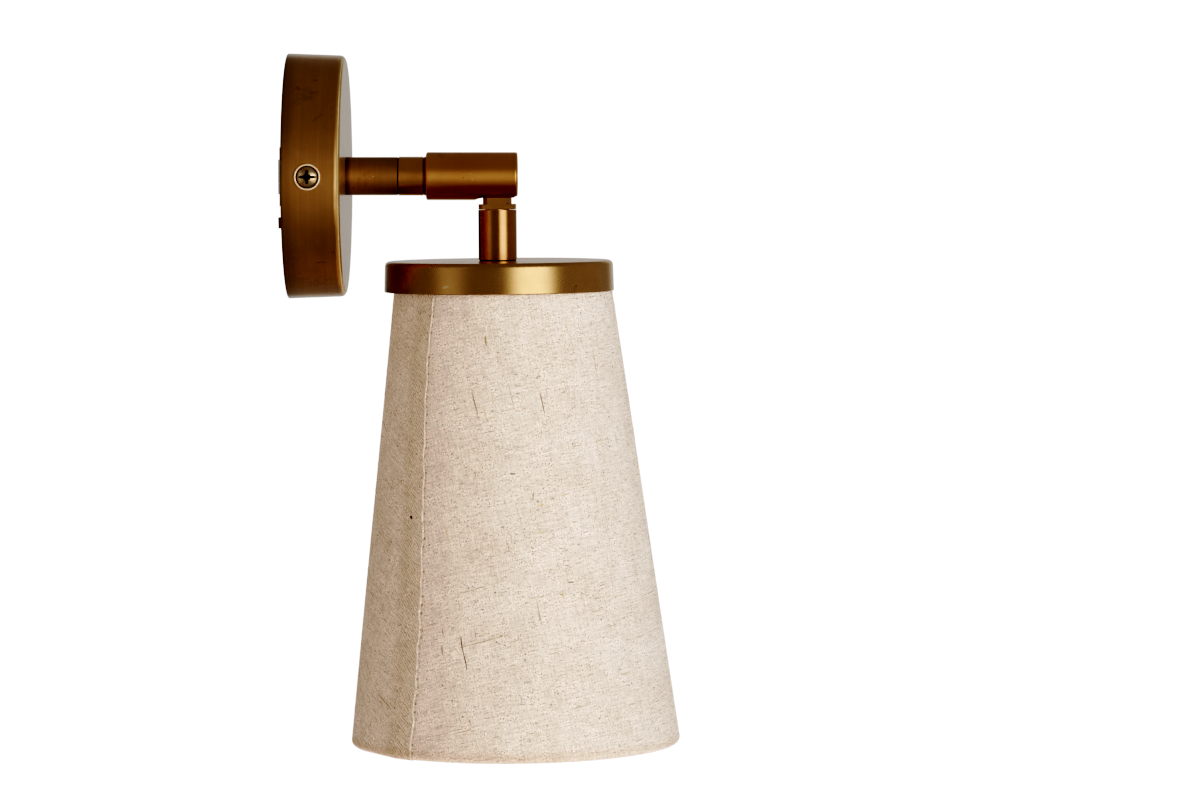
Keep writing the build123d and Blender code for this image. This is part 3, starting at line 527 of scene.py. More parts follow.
# ---------------------------------------------------------------- shade shape
# millimetres, in the head's own frame: origin on the tilt axis, Z down the stem
TOP, BOTTOM = -41.7, -237.3
R_TOP, R_BOTTOM = 44.75, 69.0
DX_TOP, DX_BOTTOM = 1.9, 5.7
HEM = 2.0
CLOTH = 0.8
SLOPE = math.atan2(R_BOTTOM - R_TOP, TOP - BOTTOM)
SEAM = math.radians(-127.3)
LEAN = math.radians(-0.475)


def frac(z):
    return (TOP - z) / (TOP - BOTTOM)


def shade_r(z):
    return R_TOP + (R_BOTTOM - R_TOP) * frac(z)


def shade_dx(z):
    return DX_TOP + (DX_BOTTOM - DX_TOP) * np.clip(frac(z), 0.0, 1.0)


def to_row(x, y, z):
    """Head frame (mm) to the row frame (m)."""
    c, s = math.cos(LEAN), math.sin(LEAN)
    return np.stack([(87.9 + x * c + z * s) * MM, y * MM, (-x * s + z * c) * MM], axis=-1)


def smooth(x, a, b):
    t = np.clip((x - a) / (b - a), 0.0, 1.0)
    return t * t * (3 - 2 * t)


def profile():
    """The cloth's section, once round: (r, z, outer, run). run is the way along
    the cloth from the top edge in mm, and outer is 1 on the face that shows."""
    zt, zb = TOP - HEM, BOTTOM + HEM
    rt, rb = shade_r(zt) - HEM, shade_r(zb) - HEM
    pts = []

    def add(r, z, outer):
        pts.append((r, z, outer))

    ro, ri = HEM, HEM - CLOTH
    for z in (-3.0, -2.0, -1.0):
        add(rt - ro, zt + z, 1)
    for a in np.linspace(180.0, math.degrees(SLOPE), 11):
        add(rt + ro * math.cos(math.radians(a)), zt + ro * math.sin(math.radians(a)), 1)
    z0 = zt + ro * math.sin(SLOPE)
    z1 = zb + ro * math.sin(SLOPE)
    n = 168
    for i in range(1, n):
        z = z0 + (z1 - z0) * i / n
        add(shade_r(z), z, 1)
    for a in np.linspace(math.degrees(SLOPE), -180.0, 13):
        add(rb + ro * math.cos(math.radians(a)), zb + ro * math.sin(math.radians(a)), 1)
    for z in (1.0, 2.0, 2.8):
        add(rb - ro, zb + z, 1)
    add(rb - (ro + ri) / 2, zb + 3.1, 0)
    for z in (2.8, 1.5):
        add(rb - ri, zb + z, 0)
    for a in np.linspace(-180.0, math.degrees(SLOPE), 9):
        add(rb + ri * math.cos(math.radians(a)), zb + ri * math.sin(math.radians(a)), 0)
    for i in range(1, 10):
        z = z1 + (z0 - z1) * i / 10
        add(shade_r(z) - CLOTH / math.cos(SLOPE), z, 0)
    for a in np.linspace(math.degrees(SLOPE), 180.0, 9):
        add(rt + ri * math.cos(math.radians(a)), zt + ri * math.sin(math.radians(a)), 0)
    for z in (-1.5, -2.8):
        add(rt - ri, zt + z, 0)
    add(rt - (ro + ri) / 2, zt - 3.1, 0)
    p = np.array(pts)
    step = np.hypot(np.diff(p[:, 0]), np.diff(p[:, 1]))
    run = np.concatenate([[0.0], np.cumsum(step)])
    # the inner face follows the outer face back
    last = int(np.sum(p[:, 2] > 0.5)) - 1
    run[last + 1:] = np.linspace(run[last], 0.0, len(p) - last + 1)[1:-1][: len(p) - last - 1]
    return p, run


def columns():
    """Angles from the seam, right-handed, close together beside it (radians)."""
    per = 57.0
    s = list(np.arange(-14.0, -1.5, 0.74)) + list(np.arange(-1.4, 1.45, 0.2)) + [1.9, 2.6]
    s = np.array(s)
    rest = np.linspace(3.5, 2 * math.pi * per - 14.8, 350)
    return np.concatenate([s[s >= 0], rest, 2 * math.pi * per + s[s < 0]]) / per


def seam_offset(s):
    """Height of the cloth over its plain surface across the seam, in mm. The
    left end lies over the right one and its edge is folded under."""
    d = 0.27 * smooth(s, -13.5, -8.0) * (1 - smooth(s, -0.45, 0.30))
    d = d + 0.04 * np.exp(-((s + 0.62) / 0.35) ** 2)
    d = d - 0.08 * np.exp(-((s - 0.50) / 0.28) ** 2)
    return d


# how far the sewn line strays from a straight one, top to bottom (radians)
STRAY = ((0.0, 0.022), (0.036, 0.010), (0.13, -0.0216), (0.24, -0.0281), (0.376, -0.0117), (0.544, 0.0113),
         (0.70, 0.0225), (0.80, 0.0150), (0.89, 0.0085), (1.0, -0.008))
_h = np.linspace(-0.1, 1.1, 481)
_s = np.interp(_h, [q[0] for q in STRAY], [q[1] for q in STRAY])
_k = np.exp(-(np.arange(-30, 31) / 13.0) ** 2)
_s = np.convolve(np.pad(_s, 30, mode="edge"), _k / _k.sum(), mode="valid")


def stray(h, s):
    small = 0.0042 * np.sin(97.0 * h) + 0.0030 * np.sin(61.0 * h + 1.0)
    return (np.interp(h, _h, _s) + small) * np.exp(-(np.asarray(s) / 30.0) ** 2)


def wander(phi, z):
    """Slack in the cloth: very low, broad, the same each run (mm)."""
    h = frac(z)
    d = 0.09 * np.sin(3 * phi + 0.7 + 2.1 * h) + 0.07 * np.sin(5 * phi + 2.9 - 3.0 * h)
    d = d + 0.05 * np.sin(11 * phi + 5.0 * h + 1.1) * np.sin(math.pi * h) + 0.04 * np.sin(17 * phi - 4.0 * h)
    return d * np.sin(math.pi * np.clip(h, 0.0, 1.0)) ** 0.5


def build_shade():
    prof, run = profile()
    phi = columns()
    nr, nc = len(prof), len(phi)
    r = prof[:, 0][:, None]
    z = prof[:, 1][:, None] * np.ones((1, nc))
    outer = prof[:, 2][:, None]
    ph = phi[None, :] * np.ones((nr, 1))
    s = np.where(ph > math.pi, ph - 2 * math.pi, ph) * 57.0
    # the seam wanders a little from a straight line, as the photograph shows
    h = np.clip(frac(z), 0.0, 1.0)
    theta = SEAM + ph + stray(h, s)
    d = (seam_offset(s) + wander(ph, z)) * outer
    # a slight flat just left of the seam at the bottom edge
    d = d - 0.25 * np.exp(-((s + 22.0) / 9.0) ** 2) * smooth(h, 0.75, 1.0) * outer
    # move along the section's own normal
    tang = np.roll(prof[:, :2], -1, axis=0) - np.roll(prof[:, :2], 1, axis=0)
    tang /= np.linalg.norm(tang, axis=1)[:, None] + 1e-9
    nrm = np.stack([-tang[:, 1], tang[:, 0]], axis=1)
    mid = len([q for q in prof if q[2] > 0.5]) // 2
    if nrm[mid, 0] < 0:
        nrm = -nrm
    rr = r + d * nrm[:, 0][:, None]
    zz = z + d * nrm[:, 1][:, None]
    x = shade_dx(z) + rr * np.cos(theta)
    y = rr * np.sin(theta)
    co = to_row(x, y, zz).reshape(-1, 3)

    i, j = np.meshgrid(np.arange(nr), np.arange(nc), indexing="ij")
    i2, j2 = (i + 1) % nr, (j + 1) % nc
    quads = np.stack([i * nc + j, i * nc + j2, i2 * nc + j2, i2 * nc + j], axis=-1).reshape(-1, 4)

    mesh = bpy.data.meshes.new("shade_linen")
    mesh.vertices.add(len(co))
    mesh.vertices.foreach_set("co", co.astype(np.float32).ravel())
    mesh.loops.add(quads.size)
    mesh.loops.foreach_set("vertex_index", quads.ravel().astype(np.int32))
    mesh.polygons.add(len(quads))
    mesh.polygons.foreach_set("loop_start", (np.arange(len(quads)) * 4).astype(np.int32))
    mesh.update(calc_edges=True)

    # flat cut: a ring sector, threads straight across it
    slant = math.hypot(R_BOTTOM - R_TOP, TOP - BOTTOM)
    rho0 = R_TOP * slant / (R_BOTTOM - R_TOP)
    sector = 2 * math.pi * (R_BOTTOM - R_TOP) / slant
    start = math.radians(-16.0)
    rho = rho0 + run[:, None] - (3.0 + HEM * math.radians(180.0)) + 2.0
    phe = np.concatenate([phi, [2 * math.pi]])[None, :]
    psi = start + sector * phe / (2 * math.pi)
    u = rho * np.sin(psi) / 100.0
    v = -rho * np.cos(psi) / 100.0
    uvl = mesh.uv_layers.new(name="grain")
    ja, jb = j, j + 1
    ia, ib = i, i2
    uvs = np.stack([
        np.stack([u[ia, ja], v[ia, ja]], -1),
        np.stack([u[ia, jb], v[ia, jb]], -1),
        np.stack([u[ib, jb], v[ib, jb]], -1),
        np.stack([u[ib, ja], v[ib, ja]], -1),
    ], axis=2).reshape(-1, 2)
    uvl.data.foreach_set("uv", uvs.astype(np.float32).ravel())
    a = mesh.attributes.new("seam_s", "FLOAT", "POINT")
    a.data.foreach_set("value", np.clip(s, -60, 60).astype(np.float32).ravel())
    a = mesh.attributes.new("seam_h", "FLOAT", "POINT")
    hh = (TOP - z) * outer + (1 - outer) * 60.0
    a.data.foreach_set("value", hh.astype(np.float32).ravel())
    mesh.polygons.foreach_set("use_smooth", np.ones(len(quads), dtype=bool))
    mesh.validate()
    mesh.update()
    # faces look outwards
    me_ok = mesh.polygons[mid * nc + nc // 2]
    cx = float(co[:, 0].mean())
    n0, c0 = me_ok.normal, me_ok.center
    if n0.x * (c0.x - cx) + n0.y * c0.y < 0:
        mesh.flip_normals()
    o = bpy.data.objects.new("shade_linen", mesh)
    scene.collection.objects.link(o)
    return o, theta


def surface(phi, z, lift=0.0):
    """A point on the cloth's outer face (row frame, metres), and its frame of
    right, down and out."""
    h = frac(z)
    s = (phi if phi < math.pi else phi - 2 * math.pi) * 57.0
    th = SEAM + phi + float(stray(h, s))
    d = float(seam_offset(np.array(s))) + float(wander(np.array(phi), np.array(z))) + lift
    rr = shade_r(z) + d * math.cos(SLOPE)
    zz = z + d * math.sin(SLOPE)
    p = to_row(float(shade_dx(z)) + rr * math.cos(th), rr * math.sin(th), zz)
    right = np.array([-math.sin(th), math.cos(th), 0.0])
    down = np.array([math.sin(SLOPE) * math.cos(th), math.sin(SLOPE) * math.sin(th), -math.cos(SLOPE)])
    out = np.cross(down, right)
    if out[0] * math.cos(th) + out[1] * math.sin(th) < 0:
        out = -out
    return p, right, down, out


def yarn(points, normals, radii, flat=0.55, sides=6):
    """A tapered thread: rings of an ellipse that lies along the cloth."""
    verts, faces = [], []
    n = len(points)
    for k in range(n):
        a = points[max(k - 1, 0)]
        b = points[min(k + 1, n - 1)]
        tdir = (b - a) / (np.linalg.norm(b - a) + 1e-12)
        side = np.cross(normals[k], tdir)
        side /= np.linalg.norm(side) + 1e-12
        up = np.cross(tdir, side)
        for q in range(sides):
            ang = 2 * math.pi * q / sides
            verts.append(points[k] + radii[k] * (side * math.cos(ang) + up * math.sin(ang) * flat))
    for k in range(n - 1):
        for q in range(sides):
            q2 = (q + 1) % sides
            faces.append((k * sides + q, k * sides + q2, (k + 1) * sides + q2, (k + 1) * sides + q))
    faces.append(tuple(range(sides))[::-1])
    faces.append(tuple((n - 1) * sides + q for q in range(sides)))
    return verts, faces


def thread_object(name, threads):
    """One mesh of many threads: (verts, faces, tone) each."""
    vs, fs, tones, grain = [], [], [], []
    for verts, faces, tone in threads:
        base = len(vs)
        vs.extend(verts)
        fs.extend([tuple(base + i for i in f) for f in faces])
        tones.extend([tone] * len(verts))
    mesh = bpy.data.meshes.new(name)
    mesh.from_pydata([tuple(v) for v in vs], [], fs)
    mesh.polygons.foreach_set("use_smooth", np.ones(len(mesh.polygons), dtype=bool))
    a = mesh.attributes.new("tone", "FLOAT", "POINT")
    a.data.foreach_set("value", np.array(tones, dtype=np.float32))
    mesh.update()
    o = bpy.data.objects.new(name, mesh)
    scene.collection.objects.link(o)
    return o


def thread_material(name, stops):
    """Spun yarn: tone picked by the attribute, fine twist along it."""
    m, t, b = material(name)
    p = coords(t)
    tone = t.new("ShaderNodeAttribute", attribute_name="tone").outputs["Fac"]
    col = t.ramp(tone, stops)
    twist = t.noise(p, scale=2600.0, detail=2.0, rough=0.6)
    k = t.remap(twist, 0.3, 0.7, 0.86, 1.10, smooth=False)
    col = t.mix(1.0, col, t.join(k, k, k), "MULTIPLY")
    t.put(b.inputs["Base Color"], col)
    t.put(b.inputs["Roughness"], t.remap(twist, 0.2, 0.8, 0.8, 0.95))
    t.put(b.inputs["Normal"], t.bump(twist, 0.4, 0.00006))
    b.inputs["Sheen Weight"].default_value = 0.12
    b.inputs["Specular IOR Level"].default_value = 0.25
    return m


shade, theta_grid = build_shade()
shade.data.materials.append(linen("linen_weave"))

# slubs: thick places in single yarns, straight in the flat cut
rng = np.random.default_rng(8)
SLANT = math.hypot(R_BOTTOM - R_TOP, TOP - BOTTOM)
SECTOR = 2 * math.pi * (R_BOTTOM - R_TOP) / SLANT
START = math.radians(-16.0)


def slub_path(phi, z, warp, length, n=9):
    """Points of a slub that starts at (phi, z) and follows the grain."""
    pts, nor = [], []
    for k in range(n):
        psi = START + SECTOR * phi / (2 * math.pi)
        p, right, down, out = surface(phi, z, 0.02)
        pts.append(p)
        nor.append(out)
        # the weft runs to the right in the flat cut, at -psi from the rim
        step = length / (n - 1)
        if warp:
            dr, dd = step * math.sin(psi) * -1.0, step * math.cos(psi)
        else:
            dr, dd = step * math.cos(psi), step * math.sin(psi)
        phi = (phi + dr / shade_r(z)) % (2 * math.pi)
        z = z - dd * math.cos(SLOPE)
        if z < BOTTOM + 4.5 or z > TOP - 6.5:
            break
    return pts, nor


slubs = []
for k in range(560):
    ph0 = rng.uniform(0.03, 2 * math.pi - 0.26)
    z0 = rng.uniform(BOTTOM + 8, TOP - 10)
    warp = rng.random() < 0.36
    length = float(rng.gamma(2.0, 2.1)) + 1.6
    fat = rng.uniform(0.11, 0.23)
    pts, nor = slub_path(ph0, z0, warp, min(length, 15.0))
    if len(pts) < 4:
        continue
    w = np.sin(np.linspace(0.10, math.pi - 0.10, len(pts))) ** 0.8
    roll = rng.random()
    tone = 0.85 if roll < 0.66 else (0.52 if roll < 0.95 else 0.22)
    v, f = yarn(pts, nor, fat * MM * w, flat=0.40)
    slubs.append((v, f, tone + rng.uniform(-0.10, 0.10)))


def thread_between(ends, fat, tone, flat=0.5, n=5):
    """A thread through (seam angle, height) points on the cloth."""
    pts, nor = [], []
    for (p0, z0), (p1, z1) in zip(ends, ends[1:]):
        for q in range(n if (p1, z1) == ends[-1] else n - 1):
            g = q / (n - 1)
            p, right, down, out = surface(p0 + (p1 - p0) * g, z0 + (z1 - z0) * g, 0.04)
            pts.append(p)
            nor.append(out)
    w = np.sin(np.linspace(0.25, math.pi - 0.25, len(pts))) ** 0.5
    v, f = yarn(pts, nor, fat * MM * w, flat=flat)
    slubs.append((v, f, tone))


# the few that stand out: a dark knot by the seam, a dark red slub with a pale
# straw thread across it, straw flecks and small dark ones
thread_between([(6.173, -138.3), (6.183, -139.6)], 0.60, 0.0)
thread_between([(0.312, -186.1), (0.338, -192.5)], 0.27, 0.14)
thread_between([(0.338, -192.5), (0.363, -199.3)], 0.22, 0.08)
thread_between([(0.320, -190.6), (0.461, -188.2), (0.597, -185.7)], 0.17, 0.42)
thread_between([(1.002, -169.6), (1.031, -169.7)], 0.26, 0.36)
thread_between([(0.576, -185.9), (0.602, -185.5)], 0.28, 0.33)
thread_between([(0.880, -133.3), (0.943, -133.4)], 0.26, 0.62)
thread_between([(0.865, -144.3), (0.923, -144.4)], 0.26, 0.62)
thread_between([(0.516, -64.4), (0.524, -68.5)], 0.30, 0.30)
thread_between([(0.682, -120.5), (0.731, -120.5)], 0.30, 0.18)
thread_between([(0.186, -190.1), (0.191, -193.7)], 0.24, 0.22)
thread_between([(0.859, -127.7), (0.845, -131.3)], 0.20, 0.30)
thread_between([(1.023, -168.5), (1.025, -171.3)], 0.32, 0.60)
for p0, z0 in ((1.388, -50.1), (1.391, -53.0), (1.418, -55.9), (0.610, -189.3), (0.742, -193.0), (0.460, -175.0), (0.550, -168.0)):
    thread_between([(p0, z0), (p0 + 0.012, z0 - 0.3)], 0.26, 0.15)
slub_obj = thread_object("linen_slubs", slubs)
slub_obj.data.materials.append(thread_material("linen_yarn", [
    (0.0, (0.075, 0.035, 0.028)), (0.15, (0.20, 0.125, 0.09)), (0.35, (0.36, 0.30, 0.14)), (0.5, (0.43, 0.34, 0.255)), (0.62, (0.64, 0.46, 0.25)),
    (0.75, (0.60, 0.50, 0.41)), (0.9, (0.70, 0.60, 0.505)), (1.0, (0.76, 0.66, 0.56))]))

# seam stitches: a thread that shows between the needle holes
stitches = []
z = TOP - 5.6
k = 0
while z > BOTTOM + 3.6:
    pts, nor, rad = [], [], []
    side = (-0.42 + 0.05 * math.sin(1.7 * k), -0.22 + 0.05 * math.sin(2.3 * k))
    for q in range(7):
        f = q / 6
        s = side[0] + (side[1] - side[0]) * f
        zz = z - 2.55 * f
        lift = 0.10 * math.sin(math.pi * f) - 0.06
        p, right, down, out = surface((s / 57.0) % (2 * math.pi), zz, lift)
        pts.append(p)
        nor.append(out)
        rad.append(MM * (0.06 + 0.08 * math.sin(math.pi * min(max(f, 0.05), 0.95)) ** 0.5))
    v, f = yarn(pts, nor, rad, flat=0.9)
    stitches.append((v, f, 0.5 + 0.5 * math.sin(3.1 * k)))
    z -= 3.35 * math.cos(SLOPE)
    k += 1
stitch_obj = thread_object("seam_stitches", stitches)
stitch_obj.data.materials.append(thread_material("seam_thread", [(0.0, (0.40, 0.315, 0.24)), (1.0, (0.62, 0.52, 0.43))]))

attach(shade, "head")
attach(slub_obj, "head")
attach(stitch_obj, "head")
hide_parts("shade_fabric", "shade_edge_top", "shade_edge_bottom")


# ---------------------------------------------------------------- materials of the carried-over pieces
CUP_MARKS = (
    ("faint", (0.0072, -0.0352, 0.0360), (0.0078, -0.0356, 0.0352), 0.0012),
    ("faint", (0.0139, -0.0315, 0.0393), (0.0145, -0.0315, 0.0393), 0.0008),
    ("faint", (0.0115, -0.0449, 0.0229), (0.0117, -0.0449, 0.0229), 0.0003),
    ("faint", (0.0138, -0.0451, 0.0225), (0.0162, -0.0443, 0.0241), 0.00022),
    ("faint", (0.0162, -0.0443, 0.0241), (0.0179, -0.0433, 0.0258), 0.00025),
    ("faint", (0.0185, -0.0460, 0.0207), (0.0200, -0.0466, 0.0193), 0.00022),
    ("faint", (0.0214, -0.0398, -0.0305), (0.0219, -0.0394, -0.0312), 0.0005),
    ("faint", (0.0150, -0.0362, -0.0350), (0.0185, -0.0362, -0.0350), 0.0005),
)
LID_MARKS = (
    ("dark", (0.09925, -0.0464, -0.04473), (0.1025, -0.04556, -0.04394), 0.00018),
    ("dark", (0.1025, -0.04556, -0.04394), (0.10655, -0.04413, -0.04297), 0.00018),
    ("bright", (0.0670, -0.0425, -0.0452), (0.0690, -0.0431, -0.0446), 0.0006),
    ("dark", (0.1318, -0.0201, -0.0470), (0.1322, -0.0192, -0.0470), 0.0005),
    ("dark", (0.1343, -0.0136, -0.0468), (0.1344, -0.0130, -0.0469), 0.0005),
    ("dark", (0.1207, -0.0352, -0.0449), (0.1209, -0.0350, -0.0447), 0.0005),
)
# the cup: painted shade towards the wall, and its front corner lightened for wear and as a painted highlight
cup_mat = aged_brass("brass_cup", "X", rough=0.38, aniso=0.0, seed=0.0, hue=(0.79, 0.490, 0.235), marks=CUP_MARKS, dots=0.25, lines=0.8, coat=0.9,
                     shades=((9.0, 0.5, 0.30), (2.4, 0.8, 0.35)), worn_edge_and_highlight=(22.8, 24.2), raw=(49.65, 24.4))
# the tube: painted shade at its root by the cup's face
tube_mat = aged_brass("brass_tube", "X", rough=0.60, aniso=0.2, seed=0.31, hue=(0.64, 0.43, 0.22), dots=1.0, lines=0.6,
                      shades=((27.6, 25.6, 0.50),),
                      marks=(("bright", (0.0364, -0.0079, -0.0001), (0.0367, -0.0079, -0.0001), 0.0003), ("bright", (0.0351, -0.0079, -0.0009), (0.0352, -0.0079, -0.0009), 0.00025)))
# the neck: painted shade at its end in the groove by the sleeve
neck_mat = aged_brass("brass_neck", "X", rough=0.235, aniso=0.72, seed=0.62, hue=(0.88, 0.520, 0.230), dots=0.6, lines=0.15, grit=0.1,
                      shades=((56.9, 57.3, 0.55),))
sleeve_mat = aged_brass("brass_sleeve", "X", rough=0.31, aniso=0.75, seed=0.93, hue=(0.950, 0.548, 0.240), dots=0.5, lines=0.3, grit=0.2,
                        marks=(("dark", (0.0741, -0.0099, -0.0005), (0.0742, -0.0099, -0.0005), 0.00035), ("bright", (0.0771, -0.0099, 0.0007), (0.0773, -0.0099, 0.0012), 0.0002), ("bright", (0.0777, -0.0098, -0.0012), (0.0780, -0.0098, -0.0015), 0.00035)))
stem_mat = aged_brass("brass_stem", "Z", rough=0.24, aniso=0.45, seed=1.4, hue=(0.685, 0.395, 0.190), dots=0.6, lines=0.3, grit=0.15, coat=0.6)
tongue_mat = aged_brass("brass_tongue", "Z", rough=0.33, aniso=0.0, seed=2.3, hue=(0.76, 0.48, 0.23), dots=1.0, lines=0.6)
# the lid: painted shade and reflection darkening its wall-side end
lid_mat = aged_brass("brass_lid", "Z", rough=0.27, aniso=0.4, seed=3.1, hue=(0.81, 0.528, 0.26), marks=LID_MARKS, dots=0.35, lines=0.2, grit=0.08, coat=0.6,
                     shades=((58.0, 43.0, 0.60),))

BRIGHT = plated("bright_brass", (0.86, 0.62, 0.30), 0.26, grain=1300.0, amount=0.08, dirt=0.4)
STEEL = plated("steel_screw", (0.66, 0.65, 0.63), 0.30, grain=1100.0, dirt=0.35, metal=0.8)
ZINC = plated("zinc_steel", (0.66, 0.67, 0.68), 0.38, grain=700.0, dirt=0.3, spangle=0.12, metal=0.55)
NICKEL = plated("bulb_metal", (0.74, 0.73, 0.70), 0.24, grain=1500.0, dirt=0.25)


def screw_brass(name, x0):
    """Bright brass screw beside the cup. Its raised outer ring is lightened, for wear and as a painted highlight; the
    channel inside that ring is darkened, for dirt and as painted shade; and the cross recess is painted dark inside as
    painted shade. Its axis is along Y at X = x0 (metres)."""
    m, t, b = material(name)
    p = coords(t)
    x, y, z = t.split(p)
    dx = t.math("SUBTRACT", x, x0)
    r = t.math("MULTIPLY", t.math("SQRT", t.math("ADD", t.math("MULTIPLY", dx, dx), t.math("MULTIPLY", z, z))), 1000.0)
    depth = t.math("SUBTRACT", t.math("MULTIPLY", t.math("ABSOLUTE", y), 1000.0), 50.83)
    cloud = t.noise(p, scale=420.0, detail=3.0, rough=0.6, distortion=0.8)
    fine = t.noise(p, scale=1500.0, detail=2.0)
    col = t.mix(t.remap(cloud, 0.35, 0.65), (0.86, 0.55, 0.30), (0.93, 0.76, 0.54))
    # the raised ring: lightened for wear and as a painted highlight
    rim_wear_highlight = t.math("MULTIPLY", t.remap(r, 4.45, 4.65), t.remap(depth, 0.75, 1.0))
    col = t.mix(rim_wear_highlight, col, t.mix(t.remap(cloud, 0.4, 0.6), (0.92, 0.66, 0.44), (0.86, 0.74, 0.60)))
    # the channel: darkened for dirt and as painted shade
    groove_dirt_shade = t.math("MULTIPLY", t.math("MULTIPLY", t.remap(r, 3.85, 4.05), t.remap(r, 4.75, 4.55)), t.remap(depth, 1.15, 0.85))
    col = t.mix(t.math("MULTIPLY", groove_dirt_shade, 0.8), col, (0.17, 0.095, 0.04))
    # the cross recess: painted shade inside
    recess_shade = t.math("MULTIPLY", t.remap(r, 3.1, 2.9), t.remap(depth, 1.62, 1.35))
    col = t.mix(t.math("MULTIPLY", recess_shade, t.remap(cloud, 0.40, 0.58, 0.60, 0.93)), col, (0.04, 0.025, 0.012))
    t.put(b.inputs["Base Color"], col)
    t.put(b.inputs["Roughness"], t.math("ADD", t.math("MULTIPLY", t.math("MAXIMUM", rim_wear_highlight, groove_dirt_shade), 0.22), t.remap(cloud, 0.3, 0.7, 0.14, 0.26)))
    t.put(b.inputs["Normal"], t.bump(t.math("ADD", fine, t.math("MULTIPLY", cloud, 2.0)), 0.5, 0.00008))
    t.put(b.inputs["Metallic"], t.math("SUBTRACT", 1.0, t.math("MULTIPLY", rim_wear_highlight, 0.40)))
    return m


SCREW_BRASS = screw_brass("bright_brass_screw", 0.012)
NYLON = plastic("nylon_black", (0.022, 0.021, 0.020), 0.48, grain=1800.0, bump=0.3, dust=0.05)
BLACK = plastic("black_plastic", (0.028, 0.026, 0.025), 0.34, grain=900.0, bump=0.2, coat=0.2, dust=0.08)
CERAMIC = plastic("ceramic_white", (0.86, 0.845, 0.80), 0.30, grain=600.0, bump=0.2, var=0.03, coat=0.3)
TERMINAL = plastic("terminal_plastic", (0.80, 0.79, 0.75), 0.42, grain=1000.0, bump=0.25, var=0.04, sub=0.2)
WIRE = plastic("wire_frame", (0.80, 0.785, 0.74), 0.36, grain=1200.0, bump=0.45, var=0.05, dust=0.15)
LINER = liner_film("liner")
GLASS = opal_glass("opal_glass")
BROWN = lead("pvc_brown", (0.17, 0.075, 0.032))
BLUE = lead("pvc_blue", (0.035, 0.13, 0.42))
EARTH = lead("pvc_earth", (0.10, 0.33, 0.06), stripe=(0.78, 0.68, 0.05))

FINISH = {
    "mounting_bracket": ZINC, "backplate_cup": cup_mat, "backplate_screws": SCREW_BRASS,
    "earth_screw": STEEL, "earth_washer": STEEL, "earth_ring_tag": NICKEL,
    "terminal_block": TERMINAL, "terminal_tubes": BRIGHT, "terminal_screws": STEEL, "terminal_fixing_screws": STEEL,
    "arm_tube": tube_mat, "arm_nipple": STEEL, "arm_locknut": STEEL, "arm_star_washer": STEEL,
    "swivel_washer": NYLON, "swivel_nut": BRIGHT, "swivel_spring_washer": STEEL,
    "lead_live_arm": BROWN, "lead_neutral_arm": BLUE, "lead_earth": EARTH,
    "knuckle_neck": neck_mat, "knuckle_fork": BRIGHT, "knuckle_sleeve": sleeve_mat, "pivot_screws": STEEL,
    "lead_live_knuckle": BROWN, "lead_neutral_knuckle": BLUE,
    "knuckle_tongue": tongue_mat, "friction_washers": NYLON, "stem_tube": stem_mat, "stem_gasket": NYLON,
    "stem_nipple": STEEL, "lid": lid_mat, "lid_washer": STEEL, "lid_locknut": STEEL,
    "lampholder_cap": BLACK, "lampholder_insert": CERAMIC, "lampholder_skirt": BLACK, "lampholder_carrier": CERAMIC,
    "lampholder_shell": BRIGHT, "lampholder_contact": BRIGHT, "lampholder_terminal_screws": STEEL,
    "shade_rings": BLACK, "shade_top_frame": WIRE, "shade_bottom_ring": WIRE, "shade_liner": LINER,
    "bulb_glass": GLASS, "bulb_cap": NICKEL, "bulb_contact": NICKEL,
    "lead_live_head": BROWN, "lead_neutral_head": BLUE,
}
for name, mat in FINISH.items():
    o = nodes[name]
    if not o.data.materials:
        o.data.materials.append(mat)
    for sl in o.material_slots:
        sl.material = mat


# ---------------------------------------------------------------- studio
# A pale floor far below, and a plain soft surround. What the polished pieces
# reflect is drawn in the surround by direction: one tall soft panel to the
# right of the camera, a weaker one to the left, a pale wall behind.
def disc(name, radius, z, rings=24, seg=96):
    vs, fs = [(0.0, 0.0, z)], []
    for i in range(1, rings + 1):
        r = radius * i / rings
        for j in range(seg):
            a = 2 * math.pi * j / seg
            vs.append((r * math.cos(a), r * math.sin(a), z))
    for j in range(seg):
        fs.append((0, 1 + j, 1 + (j + 1) % seg))
    for i in range(rings - 1):
        for j in range(seg):
            a, b = 1 + i * seg + j, 1 + i * seg + (j + 1) % seg
            fs.append((a, a + seg, b + seg, b))
    me = bpy.data.meshes.new(name)
    me.from_pydata(vs, [], fs)
    o = bpy.data.objects.new(name, me)
    scene.collection.objects.link(o)
    return o


floor = disc("floor", 14.0, -2.4)
fm, ft, fb = material("floor_pale")
fp = coords(ft)
fcol = ft.mix(ft.remap(ft.noise(fp, scale=1.5, detail=3.0), 0.3, 0.7), (0.86, 0.86, 0.86), (0.90, 0.90, 0.895))
ft.put(fb.inputs["Base Color"], fcol)
fb.inputs["Roughness"].default_value = 0.9
fb.inputs["Emission Color"].default_value = (1, 1, 1, 1)
fb.inputs["Emission Strength"].default_value = 0.35
floor.data.materials.append(fm)
floor.visible_glossy = False

world = bpy.data.worlds.new("surround")
scene.world = world
world.use_nodes = True
wt = Tree(world.node_tree)
for n in list(world.node_tree.nodes):
    world.node_tree.nodes.remove(n)
wdir = wt.vec("NORMALIZE", wt.new("ShaderNodeTexCoord").outputs["Generated"])
wx, wy, wz = wt.split(wdir)
az = wt.math("MULTIPLY", wt.math("ARCTAN2", wx, wt.math("MULTIPLY", wy, -1.0)), 180.0 / math.pi)
el = wt.math("MULTIPLY", wt.math("ARCSINE", wz), 180.0 / math.pi)


